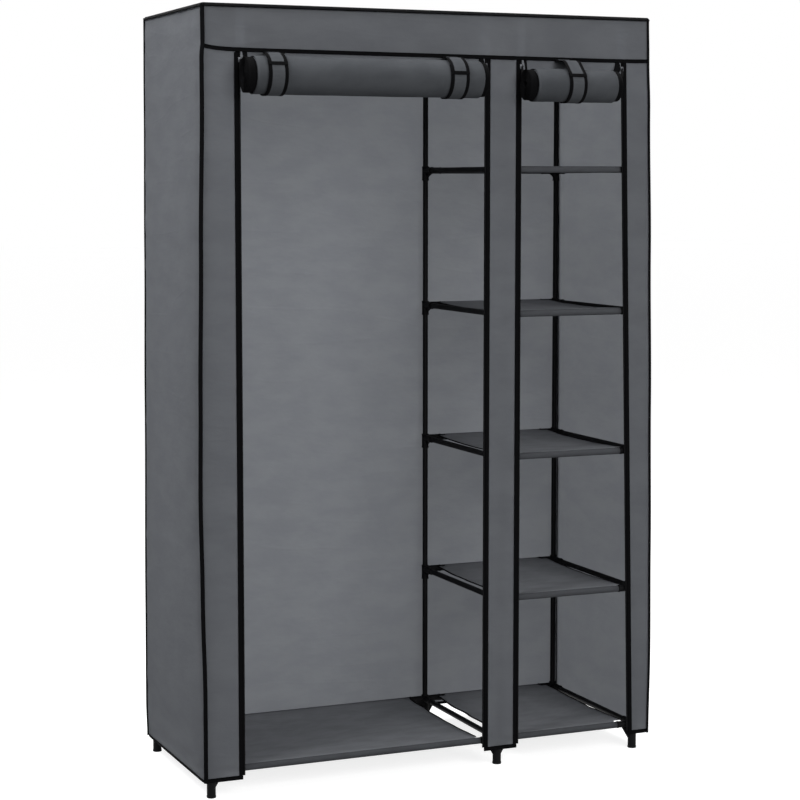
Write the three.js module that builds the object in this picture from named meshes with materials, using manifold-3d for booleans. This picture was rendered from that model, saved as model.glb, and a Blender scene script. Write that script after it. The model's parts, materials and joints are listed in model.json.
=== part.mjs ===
// A free-standing cloth wardrobe: a push-fit tube frame, cloth shelves and a sewn cloth cover with
// two roll-up doors. Millimetres, +Z up. The doors face -Y and the shelf bay is on the +X side.
import * as THREE from "three";
import { mergeVertices } from "three/addons/utils/BufferGeometryUtils.js";
import Module from "manifold-3d";

const wasm = await Module();
wasm.setup();

// Clearances
const seat = 0.3; // left between two pieces that touch
const slip = 0.3; // radial play of a tube in its socket, a rail in its hem or a pull on its bar
const overrun = 2; // how far a cutter runs past what it cuts
const weld = 1e-3; // vertices nearer than this are one

// Cover, measured at its seams
const coverWidth = 1100;
const coverDepth = 450;
const coverHeight = 1750;
const hemHeight = 38;
const cloth = 1;
const sideBillow = 4;
const backBillow = 4;
const billowColumns = 6;
const billowRows = 10;
const headerDrop = 96;

// Frame
const postInset = 15; // from a cover face to the nearest post's axis
const shelfBayWidth = 364; // from the middle posts to the right ones
const baseLevel = 60; // height of the lowest rails
const topRailDrop = 20; // from the roof seam to the highest rails
const levelCount = 6;
const tubeRadius = 6.5;
const tubeWall = 0.6;
const tubeSides = 8;

// Moulded connectors
const sleeveRadius = 9;
const sleeveBelow = 25;
const sleeveAbove = 10;
const armRadius = 8.5;
const armReach = 42; // from the post's axis to the arm's mouth
const socketFloor = 15; // from the post's axis to where a pushed-in tube stops
const gussetReach = 32;
const gussetThickness = 3;
const footFloor = 6;
const capFloor = 3;

// Hanging rail and the two sockets that carry it
const railSocketSpan = 36;
const railSocketReach = 30;
const railSocketFloor = 11;

// Cloth shelves
const shelfCloth = 1;
const shelfSag = 6;
const shelfSagSteps = 8;
const shelfEdgeMargin = 24; // from a crossbar's axis to the cloth's side edge
const shelfHemMargin = 44; // from a post's axis to the end of the hem round a rail
const shelfNotchDepth = 16; // how far a corner is cut in from the rail's axis
const baseShelfEdgeMargin = 44; // the wide bottom shelf stops this far short of the middle crossbar

// Front strips: each ends where the outer edge of a zip's tape meets its cloth
const leftFlangeWidth = 79;
const rightFlangeTopWidth = 60;
const rightFlangeBottomWidth = 26;
const stripLeftReach = 33; // from the middle posts' axis
const stripRightReach = 38;

// Zips
const tapeWidth = 12;
const tapeThickness = 0.9;
const tapeBottom = 46;
const beadHalfWidth = 1.2;
const beadReach = 1.4;
const zipBelowHeader = 2.7;

// Zip slider and pull, about the middle of the zip's bead
const sliderHeight = 11;
const sliderPlate = 1.4;
const sliderPlay = 0.4;
const sliderOverTape = 5;
const sliderDrop = 20; // from the top of a tape to its slider at rest
const lugWidth = 1.2;
const lugDepth = 3.4;
const lugHeight = 2.4;
const lugSpacing = 4.8;
const pullBarRadius = 0.8;
const pullBarStandoff = 2.4;
const pullEyeRadius = 2;
const pullEyeWidth = 3;
const pullWidth = 6;
const pullThickness = 1.2;
const pullLength = 18;
const pullShoulder = 4;
const smallSides = 8;

// Doors, rolled up outwards and held by straps
const doorCloth = 0.8;
const rollRadius = 42;
const rollCore = 8;
const rollSteps = 20;
const leftRollDrop = 54.7; // from the header's lower edge to the roll's axis
const rightRollDrop = 62.7;
const leftDoorInsets = [7, 9]; // from the zip tapes at its two sides to the door's cloth
const rightDoorInsets = [7, 16];

// Straps
const strapWidth = 45;
const strapThickness = 1;
const strapPlay = 0.5;
const flapPlay = 0.4;
const flapStandoff = 1;
const strapSteps = 22;
const flapSteps = 6;
const strapEndAngle = 140; // degrees round the roll, from its back over its underside to the front
const flapEndAngle = 157; // degrees round the roll, from its back over its top to the front
const outerStrapInset = 50; // from the wide door's left edge to its first strap
const innerStrapInset = 99; // from a door's edge beside the middle strip to its nearest strap

// Places that follow
const postX = coverWidth / 2 - postInset;
const postY = coverDepth / 2 - postInset;
const frontFace = -coverDepth / 2;
const backFace = coverDepth / 2;
const roofUnderside = coverHeight - cloth;
const panelTop = roofUnderside - seat;
const bayFace = frontFace + cloth + seat;
const bayPlane = bayFace + cloth / 2;
const topLevel = coverHeight - topRailDrop;
const levelPitch = (topLevel - baseLevel) / (levelCount - 1);
const levels = Array.from({ length: levelCount }, (_, k) => baseLevel + k * levelPitch);
const capHeight = panelTop - topLevel;
const postTop = panelTop - capFloor - seat;
const socketRadius = tubeRadius + slip;
const boreRadius = tubeRadius - tubeWall;
const tubeEnd = socketFloor + seat;
const rollTurnRadius = rollRadius - doorCloth / 2;
const rollY = bayPlane - rollTurnRadius;
const strapRadius = rollRadius + strapPlay + strapThickness / 2;
const flapRadius = strapRadius + strapThickness + flapPlay;
const headerBottom = panelTop - headerDrop;
const dividerX = postX - shelfBayWidth;
const leftZipX = -coverWidth / 2 + leftFlangeWidth;
const stripLeftX = dividerX - stripLeftReach;
const stripRightX = dividerX + stripRightReach;
const rightZipTopX = coverWidth / 2 - rightFlangeTopWidth;
const rightZipBottomX = coverWidth / 2 - rightFlangeBottomWidth;
const zipTop = headerBottom - zipBelowHeader;
const leftDoor = {
  from: leftZipX + tapeWidth + leftDoorInsets[0],
  to: stripLeftX - tapeWidth - leftDoorInsets[1],
  height: headerBottom - leftRollDrop,
};
const rightDoor = {
  from: stripRightX + tapeWidth + rightDoorInsets[0],
  to: rightZipTopX - tapeWidth - rightDoorInsets[1],
  height: headerBottom - rightRollDrop,
};

// Finishes
const finish = (color, roughness, metalness) =>
  new THREE.MeshStandardMaterial({ color, roughness, metalness });
const coverGrey = 0x5c5e63;
const shelfGrey = 0x4d4f54;
const bindingBlack = 0x101114;
const frameBlack = 0x121315;
const plasticBlack = 0x0c0d0f;
const sliderSilver = 0xa9abae;
const coverFinish = () => finish(coverGrey, 0.95, 0);
const shelfFinish = () => finish(shelfGrey, 0.95, 0);
const bindingFinish = () => finish(bindingBlack, 0.9, 0);
const frameFinish = () => finish(frameBlack, 0.45, 0.6);
const plasticFinish = () => finish(plasticBlack, 0.6, 0);
const sliderFinish = () => finish(sliderSilver, 0.35, 0.9);

const wardrobe = new THREE.Group();

// Adds a named mesh to a group and returns it, so that the caller can place it.
function add(name, geometry, material, group = wardrobe) {
  const mesh = new THREE.Mesh(geometry, material);
  mesh.name = name;
  group.add(mesh);
  return mesh;
}

// A closed geometry as a solid that can be joined and cut.
function solid(geometry) {
  const bare = geometry.clone();
  bare.deleteAttribute("normal");
  bare.deleteAttribute("uv");
  const merged = mergeVertices(bare, weld);
  const triVerts = new Uint32Array(merged.index.array);
  const vertProperties = merged.attributes.position.array;
  return new wasm.Manifold(new wasm.Mesh({ numProp: 3, vertProperties, triVerts }));
}

// A solid's faces as a geometry again.
function geometryOf(body) {
  const { vertProperties, triVerts } = body.getMesh();
  const geometry = new THREE.BufferGeometry();
  geometry.setAttribute("position", new THREE.BufferAttribute(vertProperties, 3));
  geometry.setIndex(new THREE.BufferAttribute(triVerts, 1));
  const flat = geometry.toNonIndexed();
  flat.computeVertexNormals();
  return flat;
}

const joined = (bodies) => bodies.reduce((sum, next) => sum.add(next));
const cutBy = (body, cutters) => cutters.reduce((left, cutter) => left.subtract(cutter), body);

// A round bar along an axis, from one place on it to another.
function rod(radius, from, to, axis, sides = tubeSides) {
  const bar = new THREE.CylinderGeometry(radius, radius, to - from, sides);
  bar.translate(0, (from + to) / 2, 0);
  if (axis === "x") bar.rotateZ(-Math.PI / 2);
  if (axis === "z") bar.rotateX(Math.PI / 2);
  return bar;
}

// A box between two corners.
function block([x0, y0, z0], [x1, y1, z1]) {
  const box = new THREE.BoxGeometry(x1 - x0, y1 - y0, z1 - z0);
  return box.translate((x0 + x1) / 2, (y0 + y1) / 2, (z0 + z1) / 2);
}

// A flat outline in Y and Z, drawn out along X between two places.
function drawnAlongX(outline, from, to, holes = []) {
  const shape = new THREE.Shape(outline.map(([y, z]) => new THREE.Vector2(y, z)));
  holes.forEach((hole) => shape.holes.push(hole));
  const body = new THREE.ExtrudeGeometry(shape, { depth: to - from, bevelEnabled: false });
  const turn = new THREE.Matrix4().makeBasis(
    new THREE.Vector3(0, 1, 0),
    new THREE.Vector3(0, 0, 1),
    new THREE.Vector3(1, 0, 0),
  );
  return body.applyMatrix4(turn).translate(from, 0, 0);
}

// A flat outline in X and Z, given a thickness about the plane Y = 0.
function sheetFacingY(outline, thickness) {
  const shape = new THREE.Shape(outline.map(([x, z]) => new THREE.Vector2(x, -z)));
  const body = new THREE.ExtrudeGeometry(shape, { depth: thickness, bevelEnabled: false });
  return body.translate(0, 0, -thickness / 2).rotateX(-Math.PI / 2);
}

// One open tube, for posts, crossbars and rails that are pieces of their own.
function tube(from, to, axis) {
  const wall = solid(rod(tubeRadius, from, to, axis));
  const bore = solid(rod(boreRadius, from - overrun, to + overrun, axis));
  return geometryOf(wall.subtract(bore));
}

// The solid parts of one connector's arm: the arm and the web under it, towards heading 0 to 3
// (+X, +Y, -X, -Y).
function armParts(heading) {
  const arm = rod(armRadius, 0, armReach, "x");
  const web = new THREE.Shape([
    new THREE.Vector2(0, 0),
    new THREE.Vector2(0, -sleeveBelow),
    new THREE.Vector2(gussetReach, 0),
  ]);
  const plate = new THREE.ExtrudeGeometry(web, { depth: gussetThickness, bevelEnabled: false });
  plate.translate(0, 0, -gussetThickness / 2).rotateX(Math.PI / 2);
  return [arm, plate].map((part) => solid(part.rotateZ((heading * Math.PI) / 2)));
}

// One connector at its post: bodies to join, and bores to cut once its tubes are joined on.
// fixed headings carry a tube that is part of the same piece, open headings are sockets.
function connector({ x, y, fixed, open, foot = false, cap = false }) {
  const bottom = foot ? -baseLevel : -sleeveBelow;
  const top = cap ? capHeight : sleeveAbove;
  const boreFrom = foot ? bottom + footFloor : bottom - overrun;
  const boreTo = cap ? capHeight - capFloor : top + overrun;
  const bodies = [solid(rod(sleeveRadius, bottom, top, "z"))];
  const bores = [solid(rod(socketRadius, boreFrom, boreTo, "z"))];
  [...fixed, ...open].forEach((heading) => bodies.push(...armParts(heading)));
  open.forEach((heading) => {
    const socket = rod(socketRadius, socketFloor, armReach + overrun, "x");
    bores.push(solid(socket.rotateZ((heading * Math.PI) / 2)));
  });
  const place = (body) => body.translate([x, y, 0]);
  return { bodies: bodies.map(place), bores: bores.map(place) };
}

// A tube that is joined into the connectors at both of its ends, and its bore.
function joinedTube(axis, from, to, x, y) {
  const place = (body) => body.translate([x, y, 0]);
  const bore = rod(boreRadius, from, to, axis);
  const wall = rod(tubeRadius, from + socketFloor, to - socketFloor, axis);
  return { bodies: [place(solid(wall))], bores: [place(solid(bore))] };
}

// Joins the bodies of several pieces of frame, then cuts all their bores.
function framework(pieces) {
  const bodies = pieces.flatMap((piece) => piece.bodies);
  const bores = pieces.flatMap((piece) => piece.bores);
  return geometryOf(cutBy(joined(bodies), bores));
}

// The base and top of the frame: a front and a back rail with their connectors, and crossbars.
function endLevel(label, z, { foot = false, cap = false }) {
  const rows = [
    { row: "front", y: -postY, inward: 1 },
    { row: "back", y: postY, inward: 3 },
  ];
  rows.forEach(({ row, y, inward }) => {
    const ends = { foot, cap, y: 0, open: [inward] };
    const rail = framework([
      connector({ ...ends, x: -postX, fixed: [0] }),
      connector({ ...ends, x: dividerX, fixed: [0, 2] }),
      connector({ ...ends, x: postX, fixed: [2] }),
      joinedTube("x", -postX, dividerX, 0, 0),
      joinedTube("x", dividerX, postX, 0, 0),
    ]);
    add(`${label}_${row}_rail`, rail, frameFinish()).position.set(0, y, z);
  });
  const crossbars = { left: -postX, middle: dividerX, right: postX };
  for (const [side, x] of Object.entries(crossbars)) {
    const bar = tube(-postY + tubeEnd, postY - tubeEnd, "y");
    add(`${label}_crossbar_${side}`, bar, frameFinish()).position.set(x, 0, z);
  }
}

// The four-sided frame under each raised shelf.
function shelfFrame() {
  const corners = [
    connector({ x: dividerX, y: -postY, fixed: [0, 1], open: [] }),
    connector({ x: postX, y: -postY, fixed: [2, 1], open: [] }),
    connector({ x: dividerX, y: postY, fixed: [0, 3], open: [] }),
    connector({ x: postX, y: postY, fixed: [2, 3], open: [] }),
  ];
  const tubes = [
    joinedTube("x", dividerX, postX, 0, -postY),
    joinedTube("x", dividerX, postX, 0, postY),
    joinedTube("y", -postY, postY, dividerX, 0),
    joinedTube("y", -postY, postY, postX, 0),
  ];
  return framework([...corners, ...tubes]);
}

function addPosts() {
  const bottom = footFloor + seat;
  const columns = { left: -postX, middle: dividerX, right: postX };
  const rows = { front: -postY, back: postY };
  for (const [row, y] of Object.entries(rows)) {
    for (const [column, x] of Object.entries(columns)) {
      const post = tube(bottom, postTop, "z");
      add(`post_${row}_${column}`, post, frameFinish()).position.set(x, y, 0);
    }
  }
}

// The hanging rail, and the socket that rides on a top crossbar and holds one of its ends.
function addHangingRail() {
  const rail = tube(-postX + railSocketFloor + seat, dividerX - railSocketFloor - seat, "x");
  add("hanging_rail", rail, frameFinish()).position.set(0, 0, topLevel);
  [
    { side: "left", x: -postX, heading: 0 },
    { side: "right", x: dividerX, heading: 2 },
  ].forEach(({ side, x, heading }) => {
    const turn = (body) => solid(body.rotateZ((heading * Math.PI) / 2));
    const clip = rod(sleeveRadius, -railSocketSpan / 2, railSocketSpan / 2, "y");
    const arm = turn(rod(armRadius, 0, railSocketReach, "x"));
    const clipBore = rod(socketRadius, -railSocketSpan, railSocketSpan, "y");
    const armBore = turn(rod(socketRadius, railSocketFloor, railSocketReach + overrun, "x"));
    const body = cutBy(solid(clip).add(arm), [solid(clipBore), armBore]);
    const name = `hanging_rail_socket_${side}`;
    add(name, geometryOf(body), plasticFinish()).position.set(x, 0, topLevel);
  });
}

// A shelf: a sagging sheet between the front and back rails, with a hem sewn round each rail.
// The corners are cut away so that the connectors stand free.
function shelf(from, to, hemFrom, hemTo) {
  const hemRadius = socketRadius + shelfCloth;
  const deck = [];
  const underside = [];
  for (let i = 0; i <= shelfSagSteps; i += 1) {
    const across = (2 * i) / shelfSagSteps - 1;
    const y = postY * across;
    const z = hemRadius - shelfSag * (1 - across * across);
    deck.push([y, z]);
    underside.unshift([y, z - shelfCloth]);
  }
  const bodies = [solid(drawnAlongX([...underside, ...deck].reverse(), from, to))];
  const cutters = [];
  [-postY, postY].forEach((y) => {
    bodies.push(solid(rod(hemRadius, hemFrom, hemTo, "x").translate(0, y, 0)));
    cutters.push(solid(rod(socketRadius, from - overrun, to + overrun, "x").translate(0, y, 0)));
    const inner = y - Math.sign(y) * shelfNotchDepth;
    const outer = y + Math.sign(y) * (hemRadius + overrun);
    const [y0, y1] = [Math.min(inner, outer), Math.max(inner, outer)];
    const z1 = hemRadius + overrun;
    cutters.push(solid(block([from - overrun, y0, -z1], [hemFrom, y1, z1])));
    cutters.push(solid(block([hemTo, y0, -z1], [to + overrun, y1, z1])));
  });
  return geometryOf(cutBy(joined(bodies), cutters));
}

function addShelves() {
  const bayFrom = dividerX + shelfEdgeMargin;
  const bayTo = postX - shelfEdgeMargin;
  const hems = [dividerX + shelfHemMargin, postX - shelfHemMargin];
  levels.slice(0, levelCount - 1).forEach((z, k) => {
    const name = k === 0 ? "base_shelf_right" : `shelf_${k}`;
    add(name, shelf(bayFrom, bayTo, ...hems), shelfFinish()).position.z = z;
    if (k > 0) add(`shelf_frame_${k}`, shelfFrame(), frameFinish()).position.z = z;
  });
  const wideFrom = -postX + shelfEdgeMargin;
  const wideTo = dividerX - baseShelfEdgeMargin;
  const wide = shelf(wideFrom, wideTo, -postX + shelfHemMargin, wideTo);
  add("base_shelf_left", wide, shelfFinish()).position.z = baseLevel;
}

// A hanging panel that stands across X by Z from its lower left corner, and billows towards -Y.
function billowingPanel(width, height, billow) {
  const columns = billowColumns;
  const rows = billowRows;
  const points = [];
  [0, cloth].forEach((depth) => {
    for (let j = 0; j <= rows; j += 1) {
      for (let i = 0; i <= columns; i += 1) {
        const across = i / columns;
        const up = j / rows;
        const crown = Math.sin(Math.PI * across) * Math.sin(Math.PI * up);
        points.push(width * across, depth - billow * crown, height * up);
      }
    }
  });
  const at = (layer, i, j) => (layer * (rows + 1) + j) * (columns + 1) + i;
  const faces = [];
  const quad = (a, b, c, d) => faces.push(a, b, c, a, c, d);
  for (let j = 0; j < rows; j += 1) {
    for (let i = 0; i < columns; i += 1) {
      quad(at(0, i, j), at(0, i + 1, j), at(0, i + 1, j + 1), at(0, i, j + 1));
      quad(at(1, i, j), at(1, i, j + 1), at(1, i + 1, j + 1), at(1, i + 1, j));
    }
    quad(at(0, 0, j), at(0, 0, j + 1), at(1, 0, j + 1), at(1, 0, j));
    quad(at(0, columns, j), at(1, columns, j), at(1, columns, j + 1), at(0, columns, j + 1));
  }
  for (let i = 0; i < columns; i += 1) {
    quad(at(0, i, 0), at(1, i, 0), at(1, i + 1, 0), at(0, i + 1, 0));
    quad(at(0, i, rows), at(0, i + 1, rows), at(1, i + 1, rows), at(1, i, rows));
  }
  const geometry = new THREE.BufferGeometry();
  geometry.setAttribute("position", new THREE.Float32BufferAttribute(points, 3));
  geometry.setIndex(faces);
  geometry.computeVertexNormals();
  return geometry;
}

function addCover() {
  const halfWidth = coverWidth / 2;
  const sideFrom = bayFace + cloth + seat;
  const sideTo = backFace - cloth - seat;
  const hang = panelTop - hemHeight;
  const roof = block(
    [-halfWidth, frontFace, roofUnderside],
    [halfWidth, backFace, coverHeight],
  );
  add("cover_roof", roof, coverFinish());
  const header = block([-halfWidth, 0, 0], [halfWidth, cloth, headerDrop]);
  add("cover_header", header, coverFinish()).position.set(0, frontFace, headerBottom);
  const back = add("cover_back", billowingPanel(coverWidth, hang, backBillow), coverFinish());
  back.rotation.z = Math.PI;
  back.position.set(halfWidth, backFace, hemHeight);
  const depth = sideTo - sideFrom;
  const left = add("cover_left_side", billowingPanel(depth, hang, sideBillow), coverFinish());
  left.rotation.z = -Math.PI / 2;
  left.position.set(-halfWidth, sideTo, hemHeight);
  const right = add("cover_right_side", billowingPanel(depth, hang, sideBillow), coverFinish());
  right.rotation.z = Math.PI / 2;
  right.position.set(halfWidth, sideFrom, hemHeight);
  addFrontStrips(halfWidth);
}

// A zip as its own group: its origin is the top of the tape on its outer edge, turned so that the
// tape runs down local -Z, and towards the doorway local X grows by side.
function zip({ topX, bottomX, side }) {
  const group = new THREE.Group();
  const lean = Math.atan2(bottomX - topX, zipTop - tapeBottom);
  group.position.set(topX, bayPlane, zipTop);
  group.rotation.y = -lean;
  wardrobe.add(group);
  const length = Math.hypot(bottomX - topX, zipTop - tapeBottom);
  return { group, length, side, beadX: side * (tapeWidth - beadHalfWidth) };
}

function zipTape({ length, side, beadX }) {
  const [x0, x1] = side > 0 ? [seat, tapeWidth] : [-tapeWidth, -seat];
  const halfTape = tapeThickness / 2;
  const tape = block([x0, -halfTape, -length], [x1, halfTape, 0]);
  const bead = block(
    [beadX - beadHalfWidth, -beadReach, -length],
    [beadX + beadHalfWidth, beadReach, 0],
  );
  return geometryOf(solid(tape).add(solid(bead)));
}

// The slider's two plates hold the bead between them and are joined on the doorway side. The bar
// for the pull stands off its front between two lugs.
function zipSlider(side) {
  const inner = beadReach + sliderPlay;
  const outer = inner + sliderPlate;
  const bridgeFrom = side * (beadHalfWidth + sliderPlay);
  const bridgeTo = bridgeFrom + side * sliderPlate;
  const halfHeight = sliderHeight / 2;
  const [x0, x1] = [-side * sliderOverTape, bridgeTo].sort((a, b) => a - b);
  const [b0, b1] = [bridgeFrom, bridgeTo].sort((a, b) => a - b);
  const barY = -(outer + pullBarStandoff);
  const bodies = [
    block([x0, -outer, -halfHeight], [x1, -inner, halfHeight]),
    block([x0, inner, -halfHeight], [x1, outer, halfHeight]),
    block([b0, -outer, -halfHeight], [b1, outer, halfHeight]),
    rod(pullBarRadius, -lugSpacing / 2, lugSpacing / 2, "x", smallSides).translate(0, barY, 0),
  ];
  [-lugSpacing / 2, lugSpacing / 2].forEach((x) => {
    const near = [x - lugWidth / 2, -outer - lugDepth, -lugHeight / 2];
    const far = [x + lugWidth / 2, -inner, lugHeight / 2];
    bodies.push(block(near, far));
  });
  return { body: geometryOf(joined(bodies.map(solid))), barY };
}

// The pull: an eye round the slider's bar, and a tab that widens below the lugs.
function zipPull() {
  const halfEye = pullEyeWidth / 2;
  const halfThickness = pullThickness / 2;
  const eye = rod(pullEyeRadius, -halfEye, halfEye, "x", smallSides);
  const neck = block([-halfEye, -halfThickness, -pullShoulder], [halfEye, halfThickness, 0]);
  const halfWidth = pullWidth / 2;
  const tab = block(
    [-halfWidth, -halfThickness, -pullLength],
    [halfWidth, halfThickness, -pullShoulder],
  );
  const hole = rod(pullBarRadius + slip, -pullEyeWidth, pullEyeWidth, "x", smallSides);
  return geometryOf(joined([eye, neck, tab].map(solid)).subtract(solid(hole)));
}

const zips = {
  left_door_left: { topX: leftZipX, bottomX: leftZipX, side: 1 },
  left_door_right: { topX: stripLeftX, bottomX: stripLeftX, side: -1 },
  right_door_left: { topX: stripRightX, bottomX: stripRightX, side: 1 },
  right_door_right: { topX: rightZipTopX, bottomX: rightZipBottomX, side: -1 },
};

function addZips() {
  for (const [name, place] of Object.entries(zips)) {
    const parts = zip(place);
    add(`${name}_zip_tape`, zipTape(parts), bindingFinish(), parts.group);
    const { body, barY } = zipSlider(parts.side);
    const slider = add(`${name}_zip_slider`, body, sliderFinish(), parts.group);
    slider.position.set(parts.beadX, 0, -sliderDrop);
    const pull = add(`${name}_zip_pull`, zipPull(), plasticFinish(), parts.group);
    pull.position.set(parts.beadX, barY, -sliderDrop);
  }
}

// The two flanges and the strip between the doorways. They run up behind the header to the roof.
function addFrontStrips(halfWidth) {
  const lean = (rightZipBottomX - rightZipTopX) / (zipTop - tapeBottom);
  const rightEdge = (z) => rightZipTopX + (zipTop - z) * lean;
  const outlines = {
    cover_left_flange: [
      [-halfWidth, hemHeight],
      [leftZipX, hemHeight],
      [leftZipX, panelTop],
      [-halfWidth, panelTop],
    ],
    cover_middle_strip: [
      [stripLeftX, hemHeight],
      [stripRightX, hemHeight],
      [stripRightX, panelTop],
      [stripLeftX, panelTop],
    ],
    cover_right_flange: [
      [rightEdge(hemHeight), hemHeight],
      [halfWidth, hemHeight],
      [halfWidth, panelTop],
      [rightEdge(panelTop), panelTop],
    ],
  };
  for (const [name, outline] of Object.entries(outlines)) {
    add(name, sheetFacingY(outline, cloth), coverFinish()).position.y = bayPlane;
  }
}

// A door's rolled-up length in section: a strip wound in from the back of the roll, under it and
// up its front. It is as long as the way from the roll's axis down to the hem, and its least gap
// between turns is measured on its points and printed.
function rollOutline(height) {
  const section = Math.PI * (rollTurnRadius ** 2 - rollCore ** 2);
  const pitch = section / (height - hemHeight);
  const turns = (rollTurnRadius - rollCore) / pitch;
  const steps = Math.round(turns * rollSteps);
  const outside = [];
  const inside = [];
  for (let i = 0; i <= steps; i += 1) {
    const share = i / steps;
    const angle = -share * turns * 2 * Math.PI;
    const radius = rollTurnRadius + (rollCore - rollTurnRadius) * share;
    const point = (r) => [r * Math.cos(angle), r * Math.sin(angle)];
    outside.push(point(radius + doorCloth / 2));
    inside.push(point(radius - doorCloth / 2));
  }
  return { outside, inside };
}

function leastGap({ outside, inside }) {
  let least = Infinity;
  for (let i = 0; i < inside.length - rollSteps / 2; i += 1) {
    for (let j = i + Math.round(rollSteps / 2); j < outside.length; j += 1) {
      const apart = Math.hypot(inside[i][0] - outside[j][0], inside[i][1] - outside[j][1]);
      least = Math.min(least, apart);
    }
  }
  return least;
}

function addDoor(side, { from, to, height }) {
  const strip = rollOutline(height);
  const outline = [...strip.outside, ...[...strip.inside].reverse()].reverse();
  const roll = drawnAlongX(outline, from, to);
  add(`${side}_door_roll`, roll, coverFinish()).position.set(0, rollY, height);
  const half = doorCloth / 2;
  const curtain = block([from, -half, height + seat], [to, half, panelTop]);
  add(`${side}_door_curtain`, curtain, coverFinish()).position.y = bayPlane;
  return leastGap(strip);
}

// A band of constant thickness about a path in Y and Z, across the strap's width.
function band(path) {
  const left = [];
  const right = [];
  path.forEach(([y, z], i) => {
    const [y0, z0] = path[Math.max(i - 1, 0)];
    const [y1, z1] = path[Math.min(i + 1, path.length - 1)];
    const length = Math.hypot(y1 - y0, z1 - z0);
    const [ny, nz] = [(z0 - z1) / length, (y1 - y0) / length];
    const half = strapThickness / 2;
    left.push([y + ny * half, z + nz * half]);
    right.unshift([y - ny * half, z - nz * half]);
  });
  return drawnAlongX([...left, ...right].reverse(), -strapWidth / 2, strapWidth / 2);
}

// Points round the roll's axis, between two angles from +Y in degrees.
function arc(radius, fromAngle, toAngle, steps) {
  return Array.from({ length: steps + 1 }, (_, i) => {
    const angle = THREE.MathUtils.degToRad(fromAngle + ((toAngle - fromAngle) * i) / steps);
    return [radius * Math.cos(angle), radius * Math.sin(angle)];
  });
}

// The long strap hangs behind the door from the roof seam, passes under the roll and comes up its
// front. Its path is about the roll's axis.
function longStrap(height) {
  const halfTurn = 180;
  const under = arc(strapRadius, 0, strapEndAngle - 2 * halfTurn, strapSteps);
  return band([[strapRadius, panelTop - height], ...under]);
}

// The short flap starts under the header's lower edge and lies over the roll's upper front, on
// top of the long strap's end. Its path is about its own hinge line.
function flap(height) {
  const root = [frontFace - flapStandoff - rollY, headerBottom - flapStandoff - height];
  const reach = Math.hypot(...root);
  const rootAngle = THREE.MathUtils.radToDeg(Math.atan2(root[1], root[0]));
  const spread = THREE.MathUtils.radToDeg(Math.acos(flapRadius / reach));
  const over = arc(flapRadius, rootAngle + spread, flapEndAngle, flapSteps);
  return band([root, ...over].map(([y, z]) => [y - root[0], z - root[1]]));
}

function addStraps(side, places, height) {
  places.forEach((x, i) => {
    const name = `${side}_roll_strap_${i + 1}`;
    add(`${name}_long`, longStrap(height), coverFinish()).position.set(x, rollY, height);
    const hinge = [x, frontFace - flapStandoff, headerBottom - flapStandoff];
    add(`${name}_flap`, flap(height), coverFinish()).position.set(...hinge);
  });
}

addPosts();
endLevel("base", baseLevel, { foot: true });
endLevel("top", topLevel, { cap: true });
addHangingRail();
addShelves();
addCover();
addZips();
const leftGap = addDoor("left", leftDoor);
const rightGap = addDoor("right", rightDoor);
const leftStrapPlaces = [leftDoor.from + outerStrapInset, leftDoor.to - innerStrapInset];
addStraps("left", leftStrapPlaces, leftDoor.height);
addStraps("right", [rightDoor.from + innerStrapInset], rightDoor.height);
console.log("least gap between turns of a door's roll, mm:", Math.min(leftGap, rightGap));

// The origin is on the floor, under the middle of the outline: from the straps' front to the
// crown of the back panel.
const frontReach = rollY - strapRadius - strapThickness / 2;
const backReach = backFace + backBillow;
wardrobe.position.y = -(frontReach + backReach) / 2;

export default wardrobe;
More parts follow.
